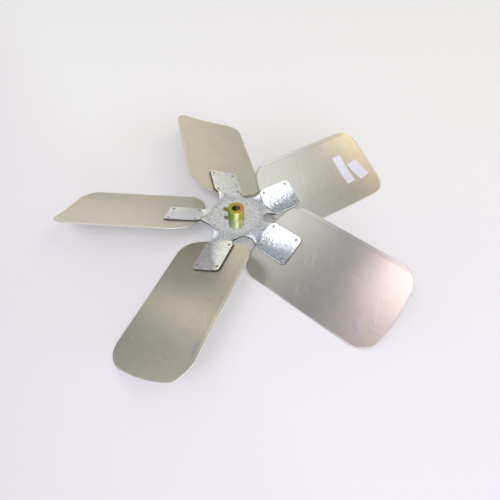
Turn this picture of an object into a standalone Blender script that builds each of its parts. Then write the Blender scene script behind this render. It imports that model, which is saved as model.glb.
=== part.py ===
# Five-blade propeller fan: a pressed steel spider on a bored hub, with a cambered sheet blade riveted to each arm.
# Metres, +Z up along the shaft. The first arm points along +X, and the fan lies on the low edges of its blades.

import math

import bmesh
import bpy
from mathutils import Matrix, Vector

# The rotor
NAME = "propeller_fan"
BLADES = 5
TIP_RADIUS = 0.3556
GAP = 0.0003
PLATE_TOP = 0.0022

# The hub, a turned sleeve with a spigot staked through the spider
BORE_RADIUS = 0.00794
HUB_RADIUS = 0.0163
HUB_HEIGHT = 0.0225
HUB_CHAMFER = 0.0008
BORE_CHAMFER = 0.0006
SPIGOT_RADIUS = 0.0125
COLLAR_RADIUS = 0.0155
COLLAR_DEPTH = 0.0022
KEY_WIDTH = 0.0048
KEY_DEPTH = 0.0024
KEY_ANGLE = math.radians(113)

# The set screw, a quarter turn from the keyway
SCREW_RADIUS = 0.0039
SCREW_LENGTH = 0.0165
SCREW_OUT = 0.0262
SCREW_HEIGHT = 0.0123
SCREW_ANGLE = KEY_ANGLE + math.radians(90)
SCREW_CHAMFER = 0.0005
SCREW_POINT = 0.001
SOCKET_RADIUS = 0.0021
SOCKET_DEPTH = 0.0032

# The spider, a star blank with a round notch between each two arms
SPIDER_THICKNESS = 0.0027
NOTCH_RADIUS = 0.0215
NOTCH_CENTRE = 0.0765
PAD_END = 0.143
PAD_HALF_WIDTH = 0.0313
PAD_FILLET = 0.005
PAD_CORNER = 0.0075

# Where an arm leaves the flat plate, along two slanting creases, and where its formed pad begins
FLAT_APEX = 0.0635
FLAT_APEX_ACROSS = 0.005
FLAT_LEAST = 0.0465
FLAT_SLANT_LOW = 0.8
FLAT_SLANT_HIGH = 0.55
PAD_START = 0.0685
PAD_SLANT_LOW = 0.3
PAD_SLANT_HIGH = 0.1

# The pitch and camber that each arm's pad and blade share
PITCH = math.radians(24.0)
CAMBER_RADIUS = 0.345
CAMBER_CENTRE = 0.0036
PAD_DROP = 0.00185

# The blades, with a shallow lip bent back along each long edge
BLADE_THICKNESS = 0.0016
BLADE_LOW_EDGE = -0.0835
BLADE_HIGH_EDGE = 0.0845
LOW_LIP_START = -0.0795
LOW_LIP_BEND = math.radians(6)
HIGH_LIP_START = 0.0765
HIGH_LIP_BEND = math.radians(8)
ROOT_START = 0.0683
ROOT_RADIUS = 0.175
ROOT_SKEW = -0.006
ROOT_CORNER = 0.026
TIP_CORNER = 0.033

# The rivets, four to a pad
RIVET_RADIUS = 0.0022
RIVET_HEAD = 0.003
RIVET_RISE = 0.0013
RIVET_SPACING = 0.0538
RIVET_CHORD = 0.0454
RIVET_MIDDLE = 0.1067

# How finely the shapes are divided, and how near two vertices are one
PLATE_COLUMNS = 8
PLATE_ROWS = 4
NOTCH_STEPS = 12
FILLET_STEPS = 3
PAD_STEPS = 4
PAD_CORNER_STEPS = 4
BLADE_COLUMNS = 8
BLADE_ROWS = 7
CORNER_STEPS = 4
LIP_STEPS = 3
HUB_SIDES = 40
SCREW_SIDES = 16
RIVET_SIDES = 12
RIVET_DOME_STEPS = 3
MERGE = 0.00001

# Cutters reach well past what they cut
HOLE_CUTTER_LENGTH = 0.02
SCREW_CUTTER_LENGTH = 0.03
KEY_CUTTER_HEIGHT = 0.1


def clear_scene():
    """Empties the file of objects and of the data that they leave behind."""
    for old in list(bpy.data.objects):
        bpy.data.objects.remove(old, do_unlink=True)
    for kept in (bpy.data.meshes, bpy.data.materials, bpy.data.collections):
        for block in list(kept):
            kept.remove(block)


def collection(name):
    """Adds a collection to the scene."""
    made = bpy.data.collections.new(name)
    bpy.context.scene.collection.children.link(made)
    return made


def material(name, colour, metallic, roughness):
    """One Principled BSDF material."""
    made = bpy.data.materials.new(name)
    made.use_nodes = True
    shader = made.node_tree.nodes["Principled BSDF"]
    shader.inputs["Base Color"].default_value = (*colour, 1.0)
    shader.inputs["Metallic"].default_value = metallic
    shader.inputs["Roughness"].default_value = roughness
    return made


def mesh_object(name, bm, where, finish=None):
    """Turns a bmesh into an object with one material, in a collection."""
    mesh = bpy.data.meshes.new(name)
    bm.to_mesh(mesh)
    bm.free()
    made = bpy.data.objects.new(name, mesh)
    where.objects.link(made)
    if finish is not None:
        mesh.materials.append(finish)
    return made


def as_cutter(piece):
    """Marks an object as a cutter, which is no part of the fan."""
    piece.hide_render = True
    piece.display_type = "WIRE"
    return piece


def smooth(piece, degrees=35):
    """Smooth shading that stays sharp along the real edges."""
    piece.data.shade_smooth()
    piece.data.set_sharp_from_angle(angle=math.radians(degrees))


def cut(piece, cutter):
    """Takes one object out of another."""
    step = piece.modifiers.new("cut_" + cutter.name, "BOOLEAN")
    step.operation = "DIFFERENCE"
    step.solver = "EXACT"
    step.object = cutter


def give_thickness(piece, thickness):
    """Thickens an open sheet downwards from its upper face."""
    sheet = piece.modifiers.new("sheet", "SOLIDIFY")
    sheet.thickness = thickness
    sheet.offset = -1.0
    sheet.use_even_offset = True


def strip(bm, rows):
    """Fills the quads between rows of vertices."""
    for low, high in zip(rows, rows[1:]):
        for a, b, c, d in zip(low, low[1:], high[1:], high):
            bm.faces.new((a, d, c, b))


def face_up(bm):
    """Turns the faces of an open sheet so that its upper face looks up."""
    bmesh.ops.recalc_face_normals(bm, faces=bm.faces)
    if sum(face.normal.z for face in bm.faces) < 0:
        bmesh.ops.reverse_faces(bm, faces=bm.faces)


def turned(name, profile, sides, where, finish):
    """A closed profile of (radius, height) turned about Z."""
    bm = bmesh.new()
    corners = [bm.verts.new((radius, 0.0, height)) for radius, height in profile]
    for a, b in zip(corners, corners[1:]):
        bm.edges.new((a, b))
    piece = mesh_object(name, bm, where, finish)
    screw = piece.modifiers.new("turn", "SCREW")
    screw.axis = "Z"
    screw.angle = math.tau
    screw.steps = sides
    screw.render_steps = sides
    screw.use_merge_vertices = True
    screw.merge_threshold = MERGE
    return piece


def arm_turn(index):
    """Turns a thing made on the +X arm onto arm number index."""
    return Matrix.Rotation(math.tau * index / BLADES, 4, "Z")


def sheet_section(across):
    """A point of the formed section, as (along, rise, slope): an arc with a straight lip at each edge."""
    arc_end = min(max(across, LOW_LIP_START), HIGH_LIP_START)
    slope = (arc_end - CAMBER_CENTRE) / CAMBER_RADIUS
    rivet_slope = RIVET_CHORD / 2 / CAMBER_RADIUS
    along = CAMBER_RADIUS * math.sin(slope) + CAMBER_CENTRE
    rise = CAMBER_RADIUS * (math.cos(rivet_slope) - math.cos(slope))
    if across > HIGH_LIP_START:
        slope -= HIGH_LIP_BEND
    elif across < LOW_LIP_START:
        slope += LOW_LIP_BEND
    along += (across - arc_end) * math.cos(slope)
    rise += (across - arc_end) * math.sin(slope)
    return along, rise, slope


def formed(radial, across, drop=0.0):
    """A point of the pitched and cambered arm, drop metres beneath the pad's upper face."""
    along, rise, slope = sheet_section(across)
    along += drop * math.sin(slope)
    rise -= drop * math.cos(slope)
    y = along * math.cos(PITCH) - rise * math.sin(PITCH)
    z = along * math.sin(PITCH) + rise * math.cos(PITCH)
    return Vector((radial, y, PLATE_TOP - PAD_DROP + z))


def formed_normal(across):
    """The outward normal of the arm's upper face."""
    tilt = PITCH + sheet_section(across)[2]
    return Vector((0.0, -math.sin(tilt), math.cos(tilt)))


def spider_point(radial, across):
    """The spider's upper face: flat round the hub, and formed to the blade's pitch on the pads."""
    off = across - FLAT_APEX_ACROSS
    flat_slant = FLAT_SLANT_HIGH if off > 0 else FLAT_SLANT_LOW
    start = max(FLAT_APEX - flat_slant * abs(off), FLAT_LEAST)
    pad_slant = PAD_SLANT_HIGH if across > 0 else PAD_SLANT_LOW
    end = PAD_START + pad_slant * abs(across)
    share = min(max((radial - start) / (end - start), 0.0), 1.0)
    share = share * share * (3 - 2 * share)
    flat = Vector((radial, across, PLATE_TOP))
    return flat.lerp(formed(radial, across), share)


def arc(centre_u, centre_v, radius, first, last, steps):
    """Points along an arc, both ends among them."""
    angles = [first + (last - first) * step / steps for step in range(steps + 1)]
    return [(centre_u + radius * math.cos(angle), centre_v + radius * math.sin(angle)) for angle in angles]


def arm_outline():
    """An arm's side as (distance along the arm, half-width), from the notch's bottom to the pad's end."""
    half_turn = math.pi / BLADES
    notch_u = NOTCH_CENTRE * math.cos(half_turn)
    notch_v = NOTCH_CENTRE * math.sin(half_turn)
    fillet_v = PAD_HALF_WIDTH - PAD_FILLET
    fillet_u = notch_u + math.sqrt((NOTCH_RADIUS + PAD_FILLET) ** 2 - (notch_v - fillet_v) ** 2)
    meeting = math.atan2(fillet_v - notch_v, fillet_u - notch_u)
    corner_u = PAD_END - PAD_CORNER
    outline = arc(notch_u, notch_v, NOTCH_RADIUS, math.pi + half_turn, meeting + math.tau, NOTCH_STEPS)
    outline += arc(fillet_u, fillet_v, PAD_FILLET, meeting + math.pi, math.pi / 2, FILLET_STEPS)[1:]
    for step in range(1, PAD_STEPS):
        outline.append((fillet_u + (corner_u - fillet_u) * step / PAD_STEPS, PAD_HALF_WIDTH))
    outline += arc(corner_u, PAD_HALF_WIDTH - PAD_CORNER, PAD_CORNER, math.pi / 2, 0.0, PAD_CORNER_STEPS)
    return outline


def make_spider(where, cutters, finish):
    """The star plate with its five formed arms, one sheet given its thickness."""
    hole = SPIGOT_RADIUS + GAP
    outline = arm_outline()
    notch_u, notch_v = outline[0]
    shares = [2 * column / PLATE_COLUMNS - 1 for column in range(PLATE_COLUMNS + 1)]
    bm = bmesh.new()
    for arm in range(BLADES):
        turn = arm_turn(arm)
        rows = []
        for step in range(PLATE_ROWS):
            row = []
            for share in shares:
                angle = share * math.pi / BLADES
                near = Vector((hole * math.cos(angle), hole * math.sin(angle), 0.0))
                far = Vector((notch_u, notch_v * share, 0.0))
                place = near.lerp(far, step / PLATE_ROWS)
                row.append(bm.verts.new(turn @ spider_point(place.x, place.y)))
            rows.append(row)
        for radial, half in outline:
            rows.append([bm.verts.new(turn @ spider_point(radial, half * share)) for share in shares])
        strip(bm, rows)
    bmesh.ops.remove_doubles(bm, verts=bm.verts, dist=MERGE)
    face_up(bm)
    spider = mesh_object("spider", bm, where, finish)
    give_thickness(spider, SPIDER_THICKNESS)
    cut(spider, cutters["rivet_holes"])
    smooth(spider, 25)


def blade_ends(across):
    """Where the flat blank of a blade starts and ends along the arm, at one place across it."""
    middle = (BLADE_LOW_EDGE + BLADE_HIGH_EDGE) / 2
    half = (BLADE_HIGH_EDGE - BLADE_LOW_EDGE) / 2
    root = ROOT_START + ROOT_RADIUS - math.sqrt(ROOT_RADIUS ** 2 - (across - ROOT_SKEW) ** 2)
    tip = math.sqrt(TIP_RADIUS ** 2 - across ** 2)
    into_tip = max(abs(across - middle) - half + TIP_CORNER, 0.0)
    into_root = max(abs(across - middle) - half + ROOT_CORNER, 0.0)
    tip -= TIP_CORNER - math.sqrt(max(TIP_CORNER ** 2 - into_tip ** 2, 0.0))
    root += ROOT_CORNER - math.sqrt(max(ROOT_CORNER ** 2 - into_root ** 2, 0.0))
    return root, tip


def blade_places():
    """The places across a blade where its columns of vertices stand, closer together round the corners."""
    middle = (BLADE_LOW_EDGE + BLADE_HIGH_EDGE) / 2
    straight = (BLADE_HIGH_EDGE - BLADE_LOW_EDGE) / 2 - TIP_CORNER
    places = [middle + straight * (2 * step / BLADE_COLUMNS - 1) for step in range(BLADE_COLUMNS + 1)]
    for side, crease in ((-1, LOW_LIP_START), (1, HIGH_LIP_START)):
        turn = math.asin((abs(crease - middle) - straight) / TIP_CORNER)
        angles = [turn * step / CORNER_STEPS for step in range(1, CORNER_STEPS + 1)]
        angles += [turn + (math.pi / 2 - turn) * step / LIP_STEPS for step in range(1, LIP_STEPS + 1)]
        places += [middle + side * (straight + TIP_CORNER * math.sin(angle)) for angle in angles]
    return sorted(places)


def make_blade(index, where, cutters, finish):
    """One blade, a sheet with rounded corners that lies beneath its pad."""
    drop = SPIDER_THICKNESS + GAP
    turn = arm_turn(index)
    bm = bmesh.new()
    columns = []
    for across in blade_places():
        root, tip = blade_ends(across)
        reach = [root + (tip - root) * step / BLADE_ROWS for step in range(BLADE_ROWS + 1)]
        columns.append([bm.verts.new(turn @ formed(radial, across, drop)) for radial in reach])
    strip(bm, columns)
    face_up(bm)
    blade = mesh_object(f"blade_{index + 1}", bm, where, finish)
    give_thickness(blade, BLADE_THICKNESS)
    cut(blade, cutters["rivet_holes"])
    smooth(blade, 30)


def rivet_places():
    """The four rivets of the +X arm as points on the pad's upper face, with the face's normal there."""
    for along, across in ((-1, 1), (1, 1), (1, -1), (-1, -1)):
        place = across * RIVET_CHORD / 2
        yield formed(RIVET_MIDDLE + along * RIVET_SPACING / 2, place), formed_normal(place)


def upright_to(point, normal):
    """Stands a thing that was made along +Z on a point of a face."""
    return Matrix.Translation(point) @ normal.to_track_quat("Z", "Y").to_matrix().to_4x4()


def rivet_profile():
    """A rivet's half section, domed above and flat below, with the pad's upper face at height 0."""
    top = GAP
    bottom = -SPIDER_THICKNESS - BLADE_THICKNESS - 2 * GAP
    quarter = [math.pi / 2 * step / RIVET_DOME_STEPS for step in range(RIVET_DOME_STEPS + 1)]
    dome = [(RIVET_HEAD * math.sin(angle), top + RIVET_RISE * math.cos(angle)) for angle in quarter]
    return dome + [
        (RIVET_RADIUS, top),
        (RIVET_RADIUS, bottom),
        (RIVET_HEAD, bottom),
        (RIVET_HEAD, bottom - RIVET_RISE),
        (0.0, bottom - RIVET_RISE),
    ]


def make_rivets(where, finish):
    """Four rivets on each arm, each its own object."""
    profile = rivet_profile()
    for arm in range(BLADES):
        for number, (point, normal) in enumerate(rivet_places()):
            rivet = turned(f"rivet_{arm + 1}_{number + 1}", profile, RIVET_SIDES, where, finish)
            rivet.matrix_world = arm_turn(arm) @ upright_to(point, normal)
            smooth(rivet)


def rivet_hole_cutter(where):
    """All rivet holes as one cutter."""
    bm = bmesh.new()
    for arm in range(BLADES):
        for point, normal in rivet_places():
            bmesh.ops.create_cone(
                bm,
                cap_ends=True,
                segments=RIVET_SIDES,
                radius1=RIVET_RADIUS + GAP,
                radius2=RIVET_RADIUS + GAP,
                depth=HOLE_CUTTER_LENGTH,
                matrix=arm_turn(arm) @ upright_to(point, normal),
            )
    return as_cutter(mesh_object("rivet_holes", bm, where))


def keyway_cutter(where):
    """The keyway, a square slot along the whole bore."""
    bpy.ops.mesh.primitive_cube_add(size=1.0)
    key = bpy.context.active_object
    key.name = "keyway"
    bpy.context.scene.collection.objects.unlink(key)
    where.objects.link(key)
    reach = BORE_RADIUS + KEY_DEPTH
    shape = Matrix.Diagonal((reach, KEY_WIDTH, KEY_CUTTER_HEIGHT, 1.0))
    key.data.transform(Matrix.Translation((reach / 2, 0.0, 0.0)) @ shape)
    key.rotation_euler.z = KEY_ANGLE
    return as_cutter(key)


def screw_frame():
    """The set screw's own frame: +Z runs out of the hub along the screw, from the shaft's axis."""
    turn = Matrix.Rotation(SCREW_ANGLE, 4, "Z")
    lie_down = Matrix.Rotation(math.pi / 2, 4, "Y")
    return Matrix.Translation((0.0, 0.0, PLATE_TOP + SCREW_HEIGHT)) @ turn @ lie_down


def screw_hole_cutter(where):
    """The tapped hole for the set screw, through one wall of the hub."""
    bm = bmesh.new()
    bmesh.ops.create_cone(
        bm,
        cap_ends=True,
        segments=SCREW_SIDES,
        radius1=SCREW_RADIUS + GAP,
        radius2=SCREW_RADIUS + GAP,
        depth=SCREW_CUTTER_LENGTH,
        matrix=screw_frame() @ Matrix.Translation((0.0, 0.0, SCREW_CUTTER_LENGTH / 2)),
    )
    return as_cutter(mesh_object("screw_hole", bm, where))


def make_hub(where, cutters, finish):
    """The hub: a sleeve above the plate, a spigot through it and a staked collar beneath it."""
    top = PLATE_TOP + HUB_HEIGHT
    seat = PLATE_TOP + GAP
    under = PLATE_TOP - SPIDER_THICKNESS - GAP
    foot = under - COLLAR_DEPTH
    profile = [
        (BORE_RADIUS + BORE_CHAMFER, top),
        (HUB_RADIUS - HUB_CHAMFER, top),
        (HUB_RADIUS, top - HUB_CHAMFER),
        (HUB_RADIUS, seat),
        (SPIGOT_RADIUS, seat),
        (SPIGOT_RADIUS, under),
        (COLLAR_RADIUS, under),
        (COLLAR_RADIUS, foot + HUB_CHAMFER),
        (COLLAR_RADIUS - HUB_CHAMFER, foot),
        (BORE_RADIUS + BORE_CHAMFER, foot),
        (BORE_RADIUS, foot + BORE_CHAMFER),
        (BORE_RADIUS, top - BORE_CHAMFER),
        (BORE_RADIUS + BORE_CHAMFER, top),
    ]
    hub = turned("hub", profile, HUB_SIDES, where, finish)
    cut(hub, cutters["keyway"])
    cut(hub, cutters["screw_hole"])
    smooth(hub)


def make_set_screw(where, finish):
    """The socket set screw, which stands a little out of the hub and stops short of the bore."""
    inner = SCREW_OUT - SCREW_LENGTH
    profile = [
        (0.0, SCREW_OUT - SOCKET_DEPTH),
        (SOCKET_RADIUS, SCREW_OUT - SOCKET_DEPTH),
        (SOCKET_RADIUS, SCREW_OUT),
        (SCREW_RADIUS - SCREW_CHAMFER, SCREW_OUT),
        (SCREW_RADIUS, SCREW_OUT - SCREW_CHAMFER),
        (SCREW_RADIUS, inner + SCREW_POINT),
        (SCREW_RADIUS - SCREW_POINT, inner),
        (0.0, inner),
    ]
    screw = turned("set_screw", profile, SCREW_SIDES, where, finish)
    screw.matrix_world = screw_frame()
    smooth(screw)


clear_scene()
parts = collection(NAME)
tools = collection("cutters")

aluminium = material("mill_aluminium", (0.66, 0.64, 0.57), 1.0, 0.32)
galvanised = material("galvanised_steel", (0.62, 0.65, 0.66), 1.0, 0.38)
chromate = material("yellow_chromate_zinc", (0.62, 0.60, 0.18), 1.0, 0.3)
rivet_metal = material("rivet_aluminium", (0.60, 0.60, 0.58), 1.0, 0.35)
screw_steel = material("zinc_plated_steel", (0.45, 0.40, 0.26), 1.0, 0.4)

fan_cutters = {
    "rivet_holes": rivet_hole_cutter(tools),
    "keyway": keyway_cutter(tools),
    "screw_hole": screw_hole_cutter(tools),
}
make_spider(parts, fan_cutters, galvanised)
for blade_index in range(BLADES):
    make_blade(blade_index, parts, fan_cutters, aluminium)
make_hub(parts, fan_cutters, chromate)
make_set_screw(parts, screw_steel)
make_rivets(parts, rivet_metal)
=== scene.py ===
# %% [markdown]
# # A propeller fan rotor
# Five cambered aluminium blades are riveted under the arms of a galvanised steel spider, and a yellow chromated hub
# is staked through the spider's middle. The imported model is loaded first, because every piece made here sits on it.

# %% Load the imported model
import math

import bmesh
import bpy
from mathutils import Matrix, Vector


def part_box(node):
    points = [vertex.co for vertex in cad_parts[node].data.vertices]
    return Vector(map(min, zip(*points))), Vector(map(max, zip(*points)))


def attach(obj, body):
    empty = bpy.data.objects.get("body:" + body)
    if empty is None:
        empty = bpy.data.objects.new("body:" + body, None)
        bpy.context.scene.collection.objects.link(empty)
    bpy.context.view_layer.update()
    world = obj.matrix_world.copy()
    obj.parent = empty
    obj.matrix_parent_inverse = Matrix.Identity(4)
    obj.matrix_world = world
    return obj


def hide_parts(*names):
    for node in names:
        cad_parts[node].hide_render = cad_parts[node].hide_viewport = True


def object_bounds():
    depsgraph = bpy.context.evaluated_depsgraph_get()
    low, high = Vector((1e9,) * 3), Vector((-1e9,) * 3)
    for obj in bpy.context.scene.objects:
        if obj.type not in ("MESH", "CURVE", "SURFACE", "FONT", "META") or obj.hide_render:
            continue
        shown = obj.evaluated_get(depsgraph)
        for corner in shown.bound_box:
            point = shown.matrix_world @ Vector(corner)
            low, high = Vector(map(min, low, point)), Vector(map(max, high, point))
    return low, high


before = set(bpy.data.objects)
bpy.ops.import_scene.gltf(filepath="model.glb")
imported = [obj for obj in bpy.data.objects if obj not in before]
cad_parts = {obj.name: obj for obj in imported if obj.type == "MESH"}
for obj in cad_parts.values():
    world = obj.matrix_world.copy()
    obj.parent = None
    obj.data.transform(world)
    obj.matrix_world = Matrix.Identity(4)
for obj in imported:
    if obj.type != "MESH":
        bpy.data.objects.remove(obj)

cad_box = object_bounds()
MM = 0.001
print("nodes in the packed model:", len(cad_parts))
print("size in mm:", [round((high - low) / MM, 1) for low, high in zip(*cad_box)])

# %% [markdown]
# ## Driving sizes
# The rotor is laid out as its maker would: one arm along +X, and the other four turned from it. Distances along an arm
# are called radial, and distances across it are called across. All values are metres.

# %% Sizes of the rotor
BLADES = 5
PLATE_TOP = 2.2 * MM
SPIDER_THICKNESS = 2.7 * MM
BLADE_THICKNESS = 1.6 * MM
GAP = 0.3 * MM
PITCH = math.radians(24)
CAMBER_RADIUS = 345 * MM
CAMBER_CENTRE = 3.6 * MM
PAD_DROP = 1.85 * MM
RIVET_CHORD = 45.4 * MM
LIPS = {"low": (-79.5 * MM, math.radians(6)), "high": (76.5 * MM, math.radians(8))}
HUB_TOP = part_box("hub")[1].z
FLOOR_HEIGHT = cad_box[0].z
print("hub top at", round(HUB_TOP / MM, 2), "mm, floor at", round(FLOOR_HEIGHT / MM, 2), "mm")

# %% [markdown]
# ## Helpers
# Three small functions serve the whole lesson. One turns sRGB hex colours to the linear values that a shader works in,
# one adds a node to any tree, and one turns an object with modifiers into a plain mesh.

# %% Helper functions
def linear(code):
    """An sRGB hex colour as linear RGBA."""
    shares = [int(code[place:place + 2], 16) / 255 for place in (1, 3, 5)]
    return (*[s / 12.92 if s <= 0.04045 else ((s + 0.055) / 1.055) ** 2.4 for s in shares], 1.0)


def add_node(tree, kind, inputs=None, **settings):
    """Adds a node with its settings, and fills its inputs with values, sockets or other nodes' first live outputs."""
    node = tree.nodes.new(kind)
    for name, value in settings.items():
        setattr(node, name, value)
    for key, value in (inputs or {}).items():
        socket = node.inputs[key]
        if isinstance(key, str):
            socket = next(live for live in node.inputs if live.name == key and live.enabled)
        if isinstance(value, bpy.types.Node):
            value = next(live for live in value.outputs if live.enabled)
        if isinstance(value, bpy.types.NodeSocket):
            tree.links.new(value, socket)
        else:
            socket.default_value = value
    return node


def plain_mesh(piece):
    """The piece as its modifiers leave it, as a new object with a plain mesh and the same name."""
    graph = bpy.context.evaluated_depsgraph_get()
    mesh = bpy.data.meshes.new_from_object(piece.evaluated_get(graph), preserve_all_data_layers=True, depsgraph=graph)
    name = piece.name
    bpy.data.objects.remove(piece)
    made = bpy.data.objects.new(name, mesh)
    bpy.context.scene.collection.objects.link(made)
    mesh.name = name
    return made


def mesh_object(name, bm):
    """A bmesh as an object in the scene."""
    mesh = bpy.data.meshes.new(name)
    bm.to_mesh(mesh)
    bm.free()
    made = bpy.data.objects.new(name, mesh)
    bpy.context.scene.collection.objects.link(made)
    return made


def smooth(piece, degrees):
    """Smooth shading, sharp along the real edges."""
    piece.data.shade_smooth()
    piece.data.set_sharp_from_angle(angle=math.radians(degrees))


def new_material(name):
    """A node material, as the material, its tree and its Principled shader."""
    material = bpy.data.materials.new(name)
    material.use_nodes = True
    return material, material.node_tree, material.node_tree.nodes["Principled BSDF"]


def triangles(piece):
    """How many triangles a plain mesh has."""
    return sum(len(face.vertices) - 2 for face in piece.data.polygons)


print("white as linear:", linear("#ffffff"))

# %% [markdown]
# ## Camera
# The view is from above and one side, close enough that the near blades look larger than the far ones. The camera is
# aimed at a point on the table plane.

# %% Camera
CAMERA_PLACE = Vector((365.454 * MM, -383.791 * MM, 553.965 * MM))
CAMERA_AIM = Vector((77.65 * MM, -48.0 * MM, 0.0))
CAMERA_ROLL = math.radians(-0.253)
camera_data = bpy.data.cameras.new("camera")
camera_data.lens = 27.075
camera_data.sensor_width = 36
camera_data.clip_start = 0.01
camera = bpy.data.objects.new("camera", camera_data)
bpy.context.scene.collection.objects.link(camera)
look = (CAMERA_AIM - CAMERA_PLACE).to_track_quat("-Z", "Y").to_matrix().to_4x4()
camera.matrix_world = Matrix.Translation(CAMERA_PLACE) @ look @ Matrix.Rotation(CAMERA_ROLL, 4, "Z")
bpy.context.scene.camera = camera
print("camera", round((CAMERA_AIM - CAMERA_PLACE).length / MM), "mm from its aim")

# %% [markdown]
# ## Floor and light
# The rotor lies on pale paper in a white studio. Metal shows little of its own colour and mostly what it mirrors, so
# the light is laid out for its reflections: soft boxes overhead leave the bright patches on the blade roots, pads and
# one tip, and the walls of the room give the long grey and beige gradients between them. The boxes are lamps. The
# walls are painted on the world as glows, because a glow's border can be as soft or as clear as a real window's.
# The layout began as a fit to the reflections on the real rotor. The values here are coarse ones, set near it.

# %% Floor
# Painted light and shade on the paper: a bluer tint towards the camera, and a greyer, darker tint to the left.
PAPER_NEAR_PAINTED_LIGHT = linear("#f9f8ff")
PAPER_FAR = linear("#f8faf8")
PAPER_LEFT_PAINTED_SHADE = linear("#ecebf0")
TOWARD_CAMERA = (0.69, -0.72, 0.0)
TOWARD_LEFT = (-0.3, -0.95, 0.0)
NEAR_PAINTED_LIGHT_FADE = (-0.3, 0.35)
LEFT_PAINTED_SHADE_FADE = (0.12, 0.5)
FLOOR_HALF = 4.0
FLOOR_CLEARANCE = 0.2 * MM
floor_mesh = bmesh.new()
bmesh.ops.create_grid(floor_mesh, x_segments=1, y_segments=1, size=FLOOR_HALF)
floor = mesh_object("floor", floor_mesh)
floor.data.transform(Matrix.Translation((0, 0, FLOOR_HEIGHT - FLOOR_CLEARANCE)))
paper, tree, shader = new_material("backdrop_paper_with_painted_light")
place = add_node(tree, "ShaderNodeTexCoord").outputs["Object"]
near = add_node(tree, "ShaderNodeVectorMath", {0: place, 1: TOWARD_CAMERA}, operation="DOT_PRODUCT").outputs["Value"]
near = add_node(tree, "ShaderNodeMapRange", {"Value": near, "From Min": NEAR_PAINTED_LIGHT_FADE[0], "From Max": NEAR_PAINTED_LIGHT_FADE[1]})
# One roll of paper with painted light on it: painted bluer towards the camera's side, and painted greyer to the left
# as painted shade.
paper_colour = add_node(tree, "ShaderNodeMix", {"Factor": near, "A": PAPER_FAR, "B": PAPER_NEAR_PAINTED_LIGHT}, data_type="RGBA")
left = add_node(tree, "ShaderNodeVectorMath", {0: place, 1: TOWARD_LEFT}, operation="DOT_PRODUCT").outputs["Value"]
left = add_node(tree, "ShaderNodeMapRange", {"Value": left, "From Min": LEFT_PAINTED_SHADE_FADE[0], "From Max": LEFT_PAINTED_SHADE_FADE[1]})
paper_colour = add_node(tree, "ShaderNodeMix", {"Factor": left, "A": paper_colour.outputs[2], "B": PAPER_LEFT_PAINTED_SHADE},
                        data_type="RGBA")
tree.links.new(paper_colour.outputs[2], shader.inputs["Base Color"])
shader.inputs["Roughness"].default_value = 0.7
floor.data.materials.append(paper)
print("floor at", round(FLOOR_HEIGHT / MM, 2), "mm")

# %% Soft boxes
def direction(azimuth, elevation):
    """A unit vector from the hub: azimuth is counted from +X, elevation from level, both in degrees."""
    a, e = math.radians(azimuth), math.radians(elevation)
    return Vector((math.cos(e) * math.cos(a), math.cos(e) * math.sin(a), math.sin(e)))


# The studio has five kinds of light, and every lamp and wall takes one of them. Strengths go in coarse steps.
NEUTRAL_LIGHT = "#ffffff"
PINKISH_LIGHT = "#ffe6f0"
CREAM_LIGHT = "#ffe0a8"
WARM_LIGHT = "#fff0d0"
COOL_LIGHT = "#f0f8ff"

# Each box: azimuth, elevation, width and height as seen from the hub in degrees, colour, and radiance.
BOX_DISTANCE = 8.0
SOFT_BOXES = {
    "tip_box": (280, 57, 20, 27, PINKISH_LIGHT, 4.0),
    "root_box": (223, 60, 15, 15, NEUTRAL_LIGHT, 2.0),
    "far_root_box": (43, 60, 16, 15, NEUTRAL_LIGHT, 2.0),
    "cream_box": (55, 42, 30, 7, CREAM_LIGHT, 4.0),
    "camera_side_box": (322, 50, 22, 20, NEUTRAL_LIGHT, 3.0),
}
for name, (azimuth, elevation, width, height, colour, radiance) in SOFT_BOXES.items():
    data = bpy.data.lights.new(name, "AREA")
    data.shape = "RECTANGLE"
    data.size = 2 * BOX_DISTANCE * math.tan(math.radians(width) / 2)
    data.size_y = 2 * BOX_DISTANCE * math.tan(math.radians(height) / 2)
    data.color = linear(colour)[:3]
    data.energy = radiance * math.pi * data.size * data.size_y
    box = bpy.data.objects.new(name, data)
    bpy.context.scene.collection.objects.link(box)
    toward = direction(azimuth, elevation)
    box.matrix_world = Matrix.Translation(toward * BOX_DISTANCE) @ toward.to_track_quat("Z", "Y").to_matrix().to_4x4()
print("soft boxes:", list(SOFT_BOXES))

# %% Studio walls
# Each glow: azimuth, elevation, half-width, half-height and roll in degrees, then border (1 is soft, 4 is clear),
# colour and radiance.
ROOM_GLOWS = {
    "high_wall": (135, 45, 12, 8, 0, 1, WARM_LIGHT, 0.5),
    "bright_wall": (157, 6, 15, 13, 0, 4, WARM_LIGHT, 0.8),
    "lit_strip": (173, 24, 2.5, 18, 6, 3, WARM_LIGHT, 1.0),
    "west_wall": (190, 18, 6, 20, -12, 1, WARM_LIGHT, 0.5),
    "back_wall": (105, 12, 30, 12, 0, 1, WARM_LIGHT, 0.8),
    "front_wall": (285, 18, 25, 14, 0, 1, PINKISH_LIGHT, 0.4),
    "right_low": (345, 12, 25, 9, 0, 1, COOL_LIGHT, 2.5),
    "east_low": (22, 8, 14, 7, 0, 1, COOL_LIGHT, 4.0),
    "front_low": (318, 8, 14, 7, 0, 1, COOL_LIGHT, 4.0),
    "left_low": (243, 8, 14, 7, 0, 1, COOL_LIGHT, 2.5),
}
GLOW_FADE = 0.3
ROOM_TONE = (0.3, 0.32, 0.35)
BACKDROP = linear("#ececed")

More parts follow.
